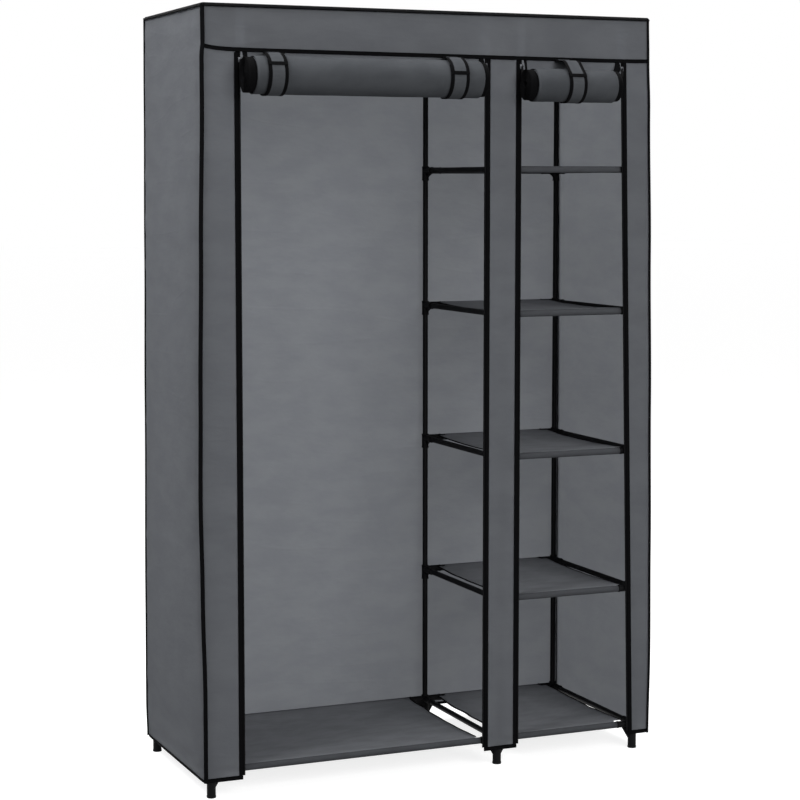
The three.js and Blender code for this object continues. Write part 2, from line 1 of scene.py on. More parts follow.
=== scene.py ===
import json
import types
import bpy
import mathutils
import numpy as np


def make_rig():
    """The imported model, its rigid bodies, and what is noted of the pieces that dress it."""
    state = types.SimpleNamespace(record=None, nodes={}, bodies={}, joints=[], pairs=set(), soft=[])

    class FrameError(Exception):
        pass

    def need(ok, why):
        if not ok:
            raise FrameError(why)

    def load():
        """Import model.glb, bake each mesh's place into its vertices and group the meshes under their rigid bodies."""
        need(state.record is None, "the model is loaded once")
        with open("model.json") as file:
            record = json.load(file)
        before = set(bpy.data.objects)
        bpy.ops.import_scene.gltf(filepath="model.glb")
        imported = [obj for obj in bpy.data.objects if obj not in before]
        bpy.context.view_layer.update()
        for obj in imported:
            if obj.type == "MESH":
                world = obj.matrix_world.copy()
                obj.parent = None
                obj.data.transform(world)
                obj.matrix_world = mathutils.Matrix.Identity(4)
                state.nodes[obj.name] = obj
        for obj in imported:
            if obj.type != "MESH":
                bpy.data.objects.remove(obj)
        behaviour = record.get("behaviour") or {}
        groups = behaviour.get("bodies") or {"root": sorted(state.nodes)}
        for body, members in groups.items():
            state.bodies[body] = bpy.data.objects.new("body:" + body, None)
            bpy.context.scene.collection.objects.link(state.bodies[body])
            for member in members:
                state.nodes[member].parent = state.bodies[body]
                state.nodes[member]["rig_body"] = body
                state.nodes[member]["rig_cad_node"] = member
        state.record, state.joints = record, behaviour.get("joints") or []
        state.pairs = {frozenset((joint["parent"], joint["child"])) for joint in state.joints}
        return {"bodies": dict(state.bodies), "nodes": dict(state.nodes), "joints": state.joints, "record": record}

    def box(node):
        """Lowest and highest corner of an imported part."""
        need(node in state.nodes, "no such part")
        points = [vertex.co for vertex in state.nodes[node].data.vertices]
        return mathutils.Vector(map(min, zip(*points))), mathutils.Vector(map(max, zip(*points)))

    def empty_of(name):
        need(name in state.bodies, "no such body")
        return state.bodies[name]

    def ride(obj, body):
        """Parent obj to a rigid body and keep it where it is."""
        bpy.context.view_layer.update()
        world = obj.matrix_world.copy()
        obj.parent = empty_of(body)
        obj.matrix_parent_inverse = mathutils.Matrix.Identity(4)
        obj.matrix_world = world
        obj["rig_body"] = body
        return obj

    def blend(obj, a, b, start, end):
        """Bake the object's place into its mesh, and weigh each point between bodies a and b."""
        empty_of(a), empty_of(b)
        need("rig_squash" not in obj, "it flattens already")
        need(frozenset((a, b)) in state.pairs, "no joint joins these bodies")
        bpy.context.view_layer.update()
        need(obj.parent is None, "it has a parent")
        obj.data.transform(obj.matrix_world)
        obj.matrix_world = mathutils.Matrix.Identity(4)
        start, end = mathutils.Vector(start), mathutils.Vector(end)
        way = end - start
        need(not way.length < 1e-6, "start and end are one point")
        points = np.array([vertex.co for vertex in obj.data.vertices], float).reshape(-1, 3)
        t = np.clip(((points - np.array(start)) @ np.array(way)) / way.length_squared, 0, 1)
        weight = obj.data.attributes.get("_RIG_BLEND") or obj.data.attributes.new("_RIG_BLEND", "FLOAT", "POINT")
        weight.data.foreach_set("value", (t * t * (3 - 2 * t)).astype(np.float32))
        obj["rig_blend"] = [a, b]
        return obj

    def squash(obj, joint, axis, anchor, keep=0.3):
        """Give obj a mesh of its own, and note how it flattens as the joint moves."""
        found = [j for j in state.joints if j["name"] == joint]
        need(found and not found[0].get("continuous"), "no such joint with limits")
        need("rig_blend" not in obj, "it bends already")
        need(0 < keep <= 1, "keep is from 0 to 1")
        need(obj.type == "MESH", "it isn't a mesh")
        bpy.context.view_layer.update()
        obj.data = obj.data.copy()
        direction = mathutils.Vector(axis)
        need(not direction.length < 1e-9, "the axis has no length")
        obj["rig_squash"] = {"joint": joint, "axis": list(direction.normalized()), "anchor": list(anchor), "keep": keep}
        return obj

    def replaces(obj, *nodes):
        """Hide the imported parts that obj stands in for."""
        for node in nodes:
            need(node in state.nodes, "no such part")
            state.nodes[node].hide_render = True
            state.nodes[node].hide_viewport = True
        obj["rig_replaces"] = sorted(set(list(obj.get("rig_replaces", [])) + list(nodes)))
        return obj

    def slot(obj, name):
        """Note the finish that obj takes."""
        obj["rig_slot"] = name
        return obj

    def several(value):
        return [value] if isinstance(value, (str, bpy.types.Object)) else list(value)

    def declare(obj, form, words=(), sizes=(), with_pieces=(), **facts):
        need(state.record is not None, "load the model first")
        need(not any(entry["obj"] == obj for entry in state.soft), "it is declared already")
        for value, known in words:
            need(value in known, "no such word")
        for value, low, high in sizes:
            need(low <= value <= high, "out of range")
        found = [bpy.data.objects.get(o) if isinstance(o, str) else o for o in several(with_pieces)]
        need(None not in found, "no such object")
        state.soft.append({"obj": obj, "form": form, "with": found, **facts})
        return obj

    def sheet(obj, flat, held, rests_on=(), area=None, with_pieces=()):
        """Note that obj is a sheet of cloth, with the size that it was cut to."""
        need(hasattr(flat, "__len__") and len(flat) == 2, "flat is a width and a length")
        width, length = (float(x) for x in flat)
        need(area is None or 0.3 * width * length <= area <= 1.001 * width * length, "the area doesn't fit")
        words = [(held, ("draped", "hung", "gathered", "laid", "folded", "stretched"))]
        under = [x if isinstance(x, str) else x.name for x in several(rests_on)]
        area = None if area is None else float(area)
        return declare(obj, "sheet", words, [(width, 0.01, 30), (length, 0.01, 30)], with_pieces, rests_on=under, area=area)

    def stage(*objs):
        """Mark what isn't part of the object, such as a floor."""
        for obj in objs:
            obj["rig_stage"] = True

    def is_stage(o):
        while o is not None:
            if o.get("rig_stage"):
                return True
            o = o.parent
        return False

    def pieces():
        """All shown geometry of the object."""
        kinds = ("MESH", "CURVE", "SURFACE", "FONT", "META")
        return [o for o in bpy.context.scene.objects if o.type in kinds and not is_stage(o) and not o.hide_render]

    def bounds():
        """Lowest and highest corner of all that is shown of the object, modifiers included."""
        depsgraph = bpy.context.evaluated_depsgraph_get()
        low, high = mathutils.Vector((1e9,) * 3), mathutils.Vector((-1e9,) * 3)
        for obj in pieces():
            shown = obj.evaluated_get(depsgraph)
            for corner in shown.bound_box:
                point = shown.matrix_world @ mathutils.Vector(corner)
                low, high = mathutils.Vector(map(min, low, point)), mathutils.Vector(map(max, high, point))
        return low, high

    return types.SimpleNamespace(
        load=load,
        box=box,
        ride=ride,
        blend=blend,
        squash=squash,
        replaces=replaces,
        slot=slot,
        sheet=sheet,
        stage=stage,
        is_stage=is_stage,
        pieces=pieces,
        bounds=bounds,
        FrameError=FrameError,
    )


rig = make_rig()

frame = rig.load()
cad_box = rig.bounds()

# A free-standing cloth wardrobe: a push-fit tube frame, cloth shelves and a sewn cloth cover with
# two roll-up doors. Pieces are modelled in millimetres about the middle of the cover's depth, with
# the doors facing -Y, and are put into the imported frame, in metres, as each one is finished.
import json
import logging
import math
from dataclasses import dataclass, field
from enum import Enum
from pathlib import Path
from typing import Callable, Sequence, Union

import bmesh
import bpy
from mathutils import Matrix, Vector, noise

log = logging.getLogger("wardrobe")

METRES = 0.001
FULL_TURN = 2 * math.pi
WELD = 1e-3
PHOTO_SIDE = 800
WHITE = (1.0, 1.0, 1.0, 1.0)
ALONG_X = Vector((1, 0, 0))
UPWARDS = Vector((0, 0, 1))
ROOT = "frame_and_cover"
Point = tuple[float, float, float]
Outline = Sequence[tuple[float, float]]
Place = Callable[[float, float], Vector]
Line = Callable[[float], float]
Mesh = bmesh.types.BMesh
Thing = bpy.types.Object
Tree = bpy.types.NodeTree
Node = bpy.types.Node


class Slot(str, Enum):
    """The record's material slots."""

    FRAME = "frame_steel"
    CONNECTOR = "connector_plastic"
    COVER = "cover_cloth"
    SHELF = "shelf_cloth"
    STRAP = "strap_cloth"
    TAPE = "zip_tape"
    ZIP_METAL = "zip_metal"
    PULL = "pull_plastic"


class Held(str, Enum):
    """How a sheet of cloth is held."""

    HUNG = "hung"
    FOLDED = "folded"
    STRETCHED = "stretched"


class Row(Enum):
    """A row of posts, by its place in Y."""

    FRONT = -1
    BACK = 1


def linear(code: str) -> tuple[float, float, float, float]:
    """Turns an sRGB hex colour into the linear one that a shader takes.

    Args:
        code: six hex digits after a hash sign.

    Returns:
        Red, green, blue and an alpha of 1.
    """
    shares = [int(code[i : i + 2], 16) / 255 for i in (1, 3, 5)]
    curve = [c / 12.92 if c <= 0.04045 else ((c + 0.055) / 1.055) ** 2.4 for c in shares]
    return (curve[0], curve[1], curve[2], 1.0)


def add_node(tree: Tree, kind: str, inputs: dict[Union[int, str], object],
             **settings: object) -> Node:
    """Adds a node with its settings, values and links.

    Args:
        tree: the material's or world's nodes.
        kind: the node's type.
        inputs: for each input, by name or number, its value, the socket that feeds it, or a node
            whose first output does.
        settings: the node's own properties.

    Returns:
        The new node.
    """
    node = tree.nodes.new(kind)
    for key, value in settings.items():
        setattr(node, key, value)
    for key, value in inputs.items():
        source = value.outputs[0] if isinstance(value, Node) else value
        if isinstance(source, bpy.types.NodeSocket):
            tree.links.new(source, node.inputs[key])
        else:
            node.inputs[key].default_value = source
    return node


def per_metre(size: float) -> float:
    """How many times a pattern of that size in millimetres repeats in a metre."""
    return 1 / (size * METRES)


@dataclass(frozen=True)
class Finish:
    """What all finishes share: a name for what the material is, and one material made once."""

    name: str

    def shader(self, tree: Tree) -> Node:
        """The node that gives the finish's shader. Each kind of finish has its own."""
        raise NotImplementedError

    def material(self) -> bpy.types.Material:
        """Makes the material, or finds it if it was made before.

        Returns:
            The material, with the finish's shader on its surface.
        """
        found = bpy.data.materials.get(self.name)
        if found is not None:
            return found
        material = bpy.data.materials.new(self.name)
        material.use_nodes = True
        tree = material.node_tree
        tree.nodes.clear()
        add_node(tree, "ShaderNodeOutputMaterial", {"Surface": self.shader(tree)})
        return material


@dataclass(frozen=True)
class SpunbondCloth(Finish):
    """Spunbond polypropylene, heat bonded with small dots: dead matt, cloudy, lets light through.

    The eye sees an even grey with soft clouds where fibres lie thicker, faint flat creases from
    packing, and a glow where light stands behind the cloth. Sizes are in millimetres.
    """

    thin: str = "#6a6c70"
    thick: str = "#65676b"
    glow: str = "#cacccf"
    dim_glow: str = "#c6c8cc"
    through: float = 0.45
    cloud: float = 42.0
    clump: float = 11.0
    clump_weight: float = 0.35
    drawn_out: float = 2.2  # how much longer clouds and clumps are across than up
    fibre_detail: float = 4.0
    spread: tuple[float, float] = (0.5, 0.85)
    bond_pitch: float = 2.8
    bonding: float = 0.25
    crease_run: float = 420.0
    crease_pitch: float = 85.0
    crease_width: float = 0.05
    creasing: float = 0.35
    relief: float = 1.2
    relief_strength: float = 0.35
    roughness: float = 0.92
    specular: float = 0.06

    def shader(self, tree: Tree) -> Node:
        """Mixes a matt surface with light that passes through the cloth.

        Args:
            tree: the material's nodes.

        Returns:
            The node that mixes the two.
        """
        uv = add_node(tree, "ShaderNodeUVMap", {}, uv_map="weave")
        laid = add_node(tree, "ShaderNodeMapping", {0: uv, 3: (1 / self.drawn_out, 1.0, 1.0)})
        cloud, clump = [
            add_node(
                tree, "ShaderNodeTexNoise",
                {"Vector": laid, "Scale": per_metre(size), "Detail": self.fibre_detail},
                noise_dimensions="2D",
            )
            for size in (self.cloud, self.clump)
        ]
        uneven = add_node(
            tree, "ShaderNodeMath", {0: clump, 1: self.clump_weight, 2: cloud},
            operation="MULTIPLY_ADD",
        )
        thinness = add_node(
            tree, "ShaderNodeMapRange", {0: uneven, 1: self.spread[0], 2: self.spread[1]},
        )
        colour, lit = [
            add_node(
                tree, "ShaderNodeMix", {0: thinness, 6: linear(low), 7: linear(high)},
                data_type="RGBA",
            ).outputs[2]
            for low, high in ((self.thick, self.thin), (self.dim_glow, self.glow))
        ]
        # Packing creases run along the cloth, each a shallow ridge a few millimetres wide.
        stretched = add_node(
            tree, "ShaderNodeMapping",
            {0: uv, 3: (per_metre(self.crease_run), per_metre(self.crease_pitch), 1.0)},
        )
        crease = add_node(
            tree, "ShaderNodeTexNoise", {"Vector": stretched, "Scale": 1.0, "Detail": 1.0},
            noise_dimensions="2D",
        )
        off_ridge = add_node(tree, "ShaderNodeMath", {0: crease, 1: 0.5}, operation="SUBTRACT")
        distance = add_node(tree, "ShaderNodeMath", {0: off_ridge}, operation="ABSOLUTE")
        ridge = add_node(
            tree, "ShaderNodeMapRange",
            {0: distance, 1: 0.0, 2: self.crease_width, 3: 1.0, 4: 0.0},
            interpolation_type="SMOOTHSTEP",
        )
        bonds = add_node(
            tree, "ShaderNodeTexVoronoi",
            {"Vector": uv, "Scale": per_metre(self.bond_pitch), "Randomness": 0.0},
            voronoi_dimensions="2D",
        )
        height = add_node(
            tree, "ShaderNodeMath", {0: bonds.outputs["Distance"], 1: self.bonding, 2: clump},
            operation="MULTIPLY_ADD",
        )
        relief = add_node(
            tree, "ShaderNodeMath", {0: ridge, 1: self.creasing, 2: height},
            operation="MULTIPLY_ADD",
        )
        bump = add_node(
            tree, "ShaderNodeBump",
            {
                "Height": relief, "Strength": self.relief_strength,
                "Distance": self.relief * METRES,
            },
        )
        surface = add_node(
            tree, "ShaderNodeBsdfPrincipled",
            {
                "Base Color": colour, "Roughness": self.roughness,
                "Specular IOR Level": self.specular, "Normal": bump,
            },
        )
        behind = add_node(tree, "ShaderNodeBsdfTranslucent", {"Color": lit, "Normal": bump})
        return add_node(tree, "ShaderNodeMixShader", {0: self.through, 1: surface, 2: behind})


@dataclass(frozen=True)
class WovenTape(Finish):
    """Woven black polyester tape: fine cross ribs and rows of lockstitch near its edges.

    The eye sees a dull black that never shines, with ribs and stitches only close to. Sizes are in
    millimetres.
    """

    colour: str = "#060607"
    thread: str = "#0f0f11"
    rib: float = 1.4  # real ribs are about 0.7 mm apart, drawn twice as coarse so that they show
    ribbing: float = 0.4
    stitch: float = 3.2
    stitch_share: float = 0.68
    stitch_width: float = 0.5
    rows: tuple[float, ...] = (1.6, 6.8)
    relief: float = 0.3
    relief_strength: float = 0.5
    roughness: float = 0.85
    specular: float = 0.03

    def shader(self, tree: Tree) -> Node:
        """Ribs across the tape, with stitches that stand proud of them.

        Args:
            tree: the material's nodes.

        Returns:
            The tape's surface.
        """
        uv = add_node(tree, "ShaderNodeUVMap", {}, uv_map="weave")
        # A wave node's bands repeat 20 / (2 pi) times for each unit of scale.
        ribs = add_node(
            tree, "ShaderNodeTexWave",
            {"Vector": uv, "Scale": per_metre(self.rib) * FULL_TURN / 20}, bands_direction="Y",
        )
        split = add_node(tree, "ShaderNodeSeparateXYZ", {0: uv})
        along = add_node(
            tree, "ShaderNodeMath", {0: split.outputs[1], 1: per_metre(self.stitch)},
            operation="MULTIPLY",
        )
        phase = add_node(tree, "ShaderNodeMath", {0: along}, operation="FRACT")
        dash = add_node(
            tree, "ShaderNodeMath", {0: phase, 1: self.stitch_share}, operation="LESS_THAN",
        )
        rows = [
            add_node(
                tree, "ShaderNodeMath",
                {0: split.outputs[0], 1: row * METRES, 2: self.stitch_width * METRES / 2},
                operation="COMPARE",
            )
            for row in self.rows
        ]
        sewn = rows[0]
        for row in rows[1:]:
            sewn = add_node(tree, "ShaderNodeMath", {0: sewn, 1: row}, operation="MAXIMUM")
        stitches = add_node(tree, "ShaderNodeMath", {0: sewn, 1: dash}, operation="MULTIPLY")
        colour = add_node(
            tree, "ShaderNodeMix", {0: stitches, 6: linear(self.colour), 7: linear(self.thread)},
            data_type="RGBA",
        )
        height = add_node(
            tree, "ShaderNodeMath", {0: ribs.outputs[1], 1: self.ribbing, 2: stitches},
            operation="MULTIPLY_ADD",
        )
        bump = add_node(
            tree, "ShaderNodeBump",
            {
                "Height": height, "Strength": self.relief_strength,
                "Distance": self.relief * METRES,
            },
        )
        return add_node(
            tree, "ShaderNodeBsdfPrincipled",
            {
                "Base Color": colour.outputs[2], "Roughness": self.roughness,
                "Specular IOR Level": self.specular, "Normal": bump,
            },
        )


@dataclass(frozen=True)
class GrainedSurface(Finish):
    """A hard surface with a fine grain: powder coat, moulded plastic or plated zinc.

    Each is told apart by how wide and how clear its highlights are, and by the grain's size. Sizes
    are in millimetres.
    """

    colour: str = "#080809"
    worn: str = "#0e0e10"
    roughness: float = 0.5
    metallic: float = 0.0
    grain: float = 2.0
    drift: float = 60.0
    relief: float = 0.12
    relief_strength: float = 0.4
    specular: float = 0.07

    def shader(self, tree: Tree) -> Node:
        """A grained surface whose colour drifts a little from place to place.

        Args:
            tree: the material's nodes.

        Returns:
            The surface.
        """
        place = add_node(tree, "ShaderNodeTexCoord", {}).outputs["Object"]
        grain, drift = [
            add_node(
                tree, "ShaderNodeTexNoise",
                {"Vector": place, "Scale": per_metre(size), "Detail": detail},
            )
            for size, detail in ((self.grain, 2.0), (self.drift, 3.0))
        ]
        colour = add_node(
            tree, "ShaderNodeMix", {0: drift, 6: linear(self.colour), 7: linear(self.worn)},
            data_type="RGBA",
        )
        bump = add_node(
            tree, "ShaderNodeBump",
            {"Height": grain, "Strength": self.relief_strength, "Distance": self.relief * METRES},
        )
        return add_node(
            tree, "ShaderNodeBsdfPrincipled",
            {
                "Base Color": colour.outputs[2], "Roughness": self.roughness,
                "Metallic": self.metallic, "Specular IOR Level": self.specular, "Normal": bump,
            },
        )


@dataclass(frozen=True)
class StudioPaper(Finish):
    """White studio paper that the camera sees as white, and that still takes a shadow."""

    colour: str = "#aaaaaa"
    lift: float = 0.82
    roughness: float = 0.95

    def shader(self, tree: Tree) -> Node:
        """Matt paper, with a lift of light for the rays that look at it.

        Args:
            tree: the material's nodes.

        Returns:
            The node that adds the lift to the paper.
        """
        rays = add_node(tree, "ShaderNodeLightPath", {})
        seen = add_node(
            tree, "ShaderNodeMath",
            {0: rays.outputs["Is Camera Ray"], 1: rays.outputs["Is Glossy Ray"]}, operation="ADD",
        )
        any_seen = add_node(
            tree, "ShaderNodeMath", {0: seen, 1: rays.outputs["Is Transmission Ray"]},
            operation="ADD",
        )
        strength = add_node(
            tree, "ShaderNodeMath", {0: any_seen, 1: self.lift}, operation="MULTIPLY",
        )
        lift = add_node(tree, "ShaderNodeEmission", {"Strength": strength})
        paper = add_node(
            tree, "ShaderNodeBsdfPrincipled",
            {"Base Color": linear(self.colour), "Roughness": self.roughness},
        )
        return add_node(tree, "ShaderNodeAddShader", {0: paper, 1: lift})


# A single layer glows where light stands behind it, so the cover reads as a soft middle grey.
COVER_CLOTH = SpunbondCloth("grey spunbond polypropylene")
# A heavier, flatter grade that lets less light through: an even and slightly deeper grey.
SHELF_CLOTH = SpunbondCloth(
    "dark grey spunbond polypropylene", thin="#727478", thick="#6b6d71", glow="#a0a2a6",
    dim_glow="#929498", through=0.25, creasing=0.15,
)
# Doubled round the rails, the cloth lets no light through, and its base colour is painted far darker than the shelf
# cloth's: painted shade along the rails.
HEM_CLOTH_PAINTED_SHADE = SpunbondCloth(
    "doubled dark grey spunbond polypropylene", thin="#3f4144", thick="#3a3b3e", through=0.0,
    creasing=0.0,
)
# Wound in many layers it lets no light through either, and its base colour is painted a dark grey, far darker than the
# cover cloth's: painted shade under the header. It keeps faint creases.
ROLLED_CLOTH_PAINTED_SHADE = SpunbondCloth(
    "grey spunbond polypropylene in many layers", thin="#3d3f42", thick="#37393c", through=0.0,
    creasing=0.2,
)
# Doubled and sewn flat, with its base colour painted as dark as the roll: painted shade under the header. Without
# creases.
STRAP_CLOTH_PAINTED_SHADE = SpunbondCloth(
    "doubled grey spunbond polypropylene", thin="#3f4144", thick="#393b3e", through=0.0,
    creasing=0.0,
)
# Flat black lines that draw the edges of every panel.
BINDING = WovenTape("black woven polyester binding")
# The same black, with finer ribs and one row of stitches.
ZIP_TAPE = WovenTape("black knitted zip tape", thread="#0d0d0f", rib=1.1, rows=(2.0,))
# A fine row of loops with narrow, soft glints.
NYLON_COIL = GrainedSurface(
    "black nylon zip coil", colour="#070708", worn="#0c0c0e", roughness=0.42, grain=1.0,
)
# A satin black with a slight orange-peel grain, which shows a soft line of light along a tube.
POWDER_COAT = GrainedSurface("black powder-coated steel", roughness=0.48, grain=1.6)
# Duller than the coated tubes, with wide faint highlights on its edges.
MOULDED_BLACK = GrainedSurface(
    "black moulded polypropylene", colour="#070708", worn="#0c0c0e", roughness=0.58, grain=0.9,
)
# A darkened metal that shows as a small dull glint at the top of each zip.
PLATED_ZINC = GrainedSurface(
    "plated zinc die casting", colour="#4c4d50", worn="#3e3f42", roughness=0.5, metallic=1.0,
    grain=1.2, specular=0.5,
)


@dataclass(frozen=True)
class Ride:
    """A piece that moves with one body."""

    body: str = ROOT

    def apply(self, thing: Thing) -> None:
        """Makes the piece ride on its body."""
        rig.ride(thing, self.body)


@dataclass(frozen=True)
class Stretch:
    """Cloth whose top stays with the cover while its lower edge goes down with a door."""

    door: str
    top: Vector
    bottom: Vector

    def apply(self, thing: Thing) -> None:
        """Blends the piece from the cover to the door, from its top to its bottom."""
        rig.blend(thing, ROOT, self.door, to_row() @ self.top, to_row() @ self.bottom)


@dataclass(frozen=True)
class FoldAway:
    """A strap that lies back against the curtain when its door comes down."""

    joint: str
    anchor: Vector
    keep: float = 0.06

    def apply(self, thing: Thing) -> None:
        """Flattens the piece towards the back as the door travels."""
        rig.ride(thing, ROOT)
        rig.squash(thing, self.joint, (0, 1, 0), to_row() @ self.anchor, self.keep)


Motion = Union[Ride, Stretch, FoldAway]


def to_row() -> Matrix:
    """The wardrobe's own frame in millimetres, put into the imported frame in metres."""
    low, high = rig.box("cover_roof")
    return Matrix.Translation((0.0, (low[1] + high[1]) / 2, 0.0)) @ Matrix.Scale(METRES, 4)


@dataclass(frozen=True)
class Piece:
    """How one modelled mesh becomes a piece of the wardrobe."""

    name: str
    finish: Finish
    slot: Slot
    stands_for: tuple[str, ...] = ()
    motion: Motion = Ride()
    thickness: float = 0.0
    sharp: float = 38.0  # edges that turn by more degrees than this stay sharp

    def make(self, mesh: Mesh) -> Thing:
        """Puts the mesh in its place and gives it its finish, slot, body and nodes.

        Args:
            mesh: the shape in millimetres, which is used up.

        Returns:
            The new object.
        """
        mesh.transform(to_row())
        data = bpy.data.meshes.new(self.name)
        mesh.to_mesh(data)
        mesh.free()
        data.shade_smooth()
        data.set_sharp_from_angle(angle=math.radians(self.sharp))
        data.materials.append(self.finish.material())
        thing = bpy.data.objects.new(self.name, data)
        bpy.context.scene.collection.objects.link(thing)
        if self.thickness:
            wall = thing.modifiers.new("cloth", "SOLIDIFY")
            wall.thickness = self.thickness * METRES
            wall.offset = 0.0
        self.motion.apply(thing)
        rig.slot(thing, self.slot.value)
        if self.stands_for:
            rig.replaces(thing, *self.stands_for)
        log.info("%s: %d faces, stands for %s", self.name, len(data.polygons), self.stands_for)
        return thing


def declare_sheet(thing: Thing, width: float, length: float, held: Held, on: str | list[str],
                  tapes: Sequence[Thing]) -> None:
    """Declares a piece as a sheet of cloth.

    Args:
        thing: the cloth.
        width: its flat width in millimetres.
        length: its flat length in millimetres.
        held: how it is held.
        on: the piece or pieces that it rests on or hangs from.
        tapes: the pieces that are sewn to it.
    """
    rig.sheet(
        thing, flat=(width * METRES, length * METRES), held=held.value,
        rests_on=[on] if isinstance(on, str) else on, with_pieces=list(tapes),
    )


def mixed(first: float, last: float, share: float) -> float:
    """A value between two others, by share."""
    return first + (last - first) * share


def eased(share: float) -> float:
    """A share that starts and ends gently."""
    held = min(max(share, 0.0), 1.0)
    return held * held * (3 - 2 * held)


def shares(steps: int) -> list[float]:
    """Even shares from 0 to 1."""
    return [i / steps for i in range(steps + 1)]


def path_length(path: Sequence[Vector]) -> float:
    """The length of a path through its points."""
    return sum((b - a).length for a, b in zip(path, path[1:]))


def warped_grid(columns: int, rows: int, place: Place, size: tuple[float, float]) -> Mesh:
    """Bends a flat grid of faces into a shape.

    Args:
        columns: faces across.
        rows: faces up.
        place: gives the point for a share across and a share up.
        size: the flat cloth's width and height in millimetres, for the weave's map.

    Returns:
        The open mesh, with a map of the weave in metres.
    """
    mesh = bmesh.new()
    bmesh.ops.create_grid(mesh, x_segments=columns, y_segments=rows, size=0.5)
    weave = mesh.loops.layers.uv.new("weave")
    for face in mesh.faces:
        for loop in face.loops:
            across, up = loop.vert.co.x + 0.5, loop.vert.co.y + 0.5
            loop[weave].uv = (across * size[0] * METRES, up * size[1] * METRES)
    for vert in mesh.verts:
        vert.co = place(vert.co.x + 0.5, vert.co.y + 0.5)
    return mesh


def closed_round(mesh: Mesh) -> Mesh:
    """Welds a grid whose sides meet, closes its two ends and turns its faces outwards.

    Args:
        mesh: the open grid, which is changed.

    Returns:
        The same mesh, closed.
    """
    bmesh.ops.remove_doubles(mesh, verts=mesh.verts[:], dist=WELD)
    rims = [edge for edge in mesh.edges if edge.is_boundary]
    bmesh.ops.holes_fill(mesh, edges=rims, sides=0)
    bmesh.ops.recalc_face_normals(mesh, faces=mesh.faces[:])
    return mesh


def gathered(parts: Sequence[Mesh]) -> Mesh:
    """Puts several meshes into the first of them and frees the rest.

    Args:
        parts: the meshes, which are used up.

    Returns:
        The first mesh, with all of them in it.
    """
    whole = parts[0]
    for part in parts[1:]:
        data = bpy.data.meshes.new("part")
        part.to_mesh(data)
        part.free()
        whole.from_mesh(data)
        bpy.data.meshes.remove(data)
    return whole


@dataclass(frozen=True)
class Band:
    """A tape or cord of one section, laid along a path."""

    width: float
    depth: float
    sides: int = 10
    squareness: float = 0.55

    def along(self, path: Sequence[Vector], across: Sequence[Vector]) -> Mesh:
        """Sweeps the section along the path.

        Args:
            path: the points that the middle of the section passes.
            across: at each point, the direction of the section's width.

        Returns:
            The closed mesh.
        """
        last = len(path) - 1

        def place(around: float, up: float) -> Vector:
            """A point of the section's edge, by share round it and along the path."""
            i = round(up * last)
            heading = (path[min(i + 1, last)] - path[max(i - 1, 0)]).normalized()
            through = heading.cross(across[i]).normalized()
            turn = FULL_TURN * around
            wide = math.copysign(abs(math.cos(turn)) ** self.squareness, math.cos(turn))
            deep = math.copysign(abs(math.sin(turn)) ** self.squareness, math.sin(turn))
            return path[i] + across[i] * (wide * self.width / 2) + through * (deep * self.depth / 2)

        around = 2 * (self.width + self.depth)
        return closed_round(warped_grid(self.sides, last, place, (around, path_length(path))))

    def laid(self, path: Sequence[Vector], across: Vector) -> Mesh:
        """Sweeps the section along the path, with its width always the same way."""
        return self.along(path, [across] * len(path))

    def straight(self, start: Vector, end: Vector, across: Vector, steps: int = 12) -> Mesh:
        """Sweeps the section along a straight line."""
        return self.laid([start.lerp(end, share) for share in shares(steps)], across)


def turned(profile: Outline, start: Vector, end: Vector, sides: int = 24) -> Mesh:
    """Turns a profile about the line from start to end.

    Args:
        profile: radius and distance along the line, from a point on it to a point on it.
        start: where the profile's distance is zero.
        end: a point that the line heads for.
        sides: how many steps make a full turn.

    Returns:
        The closed mesh.
    """
    mesh = bmesh.new()
    verts = [mesh.verts.new((radius, 0.0, along)) for radius, along in profile]
    edges = [mesh.edges.new(pair) for pair in zip(verts, verts[1:])]
    bmesh.ops.spin(
        mesh, geom=verts + edges, cent=(0, 0, 0), axis=(0, 0, 1), dvec=(0, 0, 0),
        angle=FULL_TURN, steps=sides, use_merge=True,
    )
    bmesh.ops.remove_doubles(mesh, verts=mesh.verts[:], dist=WELD)
    bmesh.ops.recalc_face_normals(mesh, faces=mesh.faces[:])
    heading = (end - start).to_track_quat("Z", "Y").to_matrix().to_4x4()
    mesh.transform(Matrix.Translation(start) @ heading)
    return mesh


def collar(radius: float, start: Point, end: Point, rim: float = 3.2) -> Mesh:
    """A moulded barrel between two points, with a raised rim at each end.

    Args:
        radius: the rims' radius.
        start: the middle of one end.
        end: the middle of the other.
        rim: each rim's width.

    Returns:
        The closed mesh.
    """
    step = round_off = 0.6
    start, end = Vector(start), Vector(end)
    length = (end - start).length
    profile = [
        (0.0, 0.0), (radius - round_off, 0.0), (radius, round_off), (radius, rim),
        (radius - step, rim + step), (radius - step, length - rim - step), (radius, length - rim),
        (radius, length - round_off), (radius - round_off, length), (0.0, length),
    ]
    return turned(profile, start, end)


def bar(radius: float, start: Point, end: Point) -> Mesh:
    """A round bar between two points, with its edges just broken.

    Args:
        radius: the bar's radius.
        start: the middle of one end.
        end: the middle of the other.

    Returns:
        The closed mesh.
    """
    edge = 0.4
    start, end = Vector(start), Vector(end)
    length = (end - start).length
    profile = [
        (0.0, 0.0), (radius - edge, 0.0), (radius, edge), (radius, length - edge),
        (radius - edge, length), (0.0, length),
    ]
    return turned(profile, start, end)


def softened(mesh: Mesh, edges: Sequence[bmesh.types.BMEdge], width: float, segments: int) -> Mesh:
    """Rounds edges of a mesh.

    Args:
        mesh: the mesh, which is changed.
        edges: the edges to round.
        width: how far the rounding reaches.
        segments: how many faces it has.

    Returns:
        The same mesh.
    """
    bmesh.ops.bevel(
        mesh, geom=edges, offset=width, offset_type="OFFSET", segments=segments, profile=0.5,
        affect="EDGES", material=-1,
    )
    return mesh


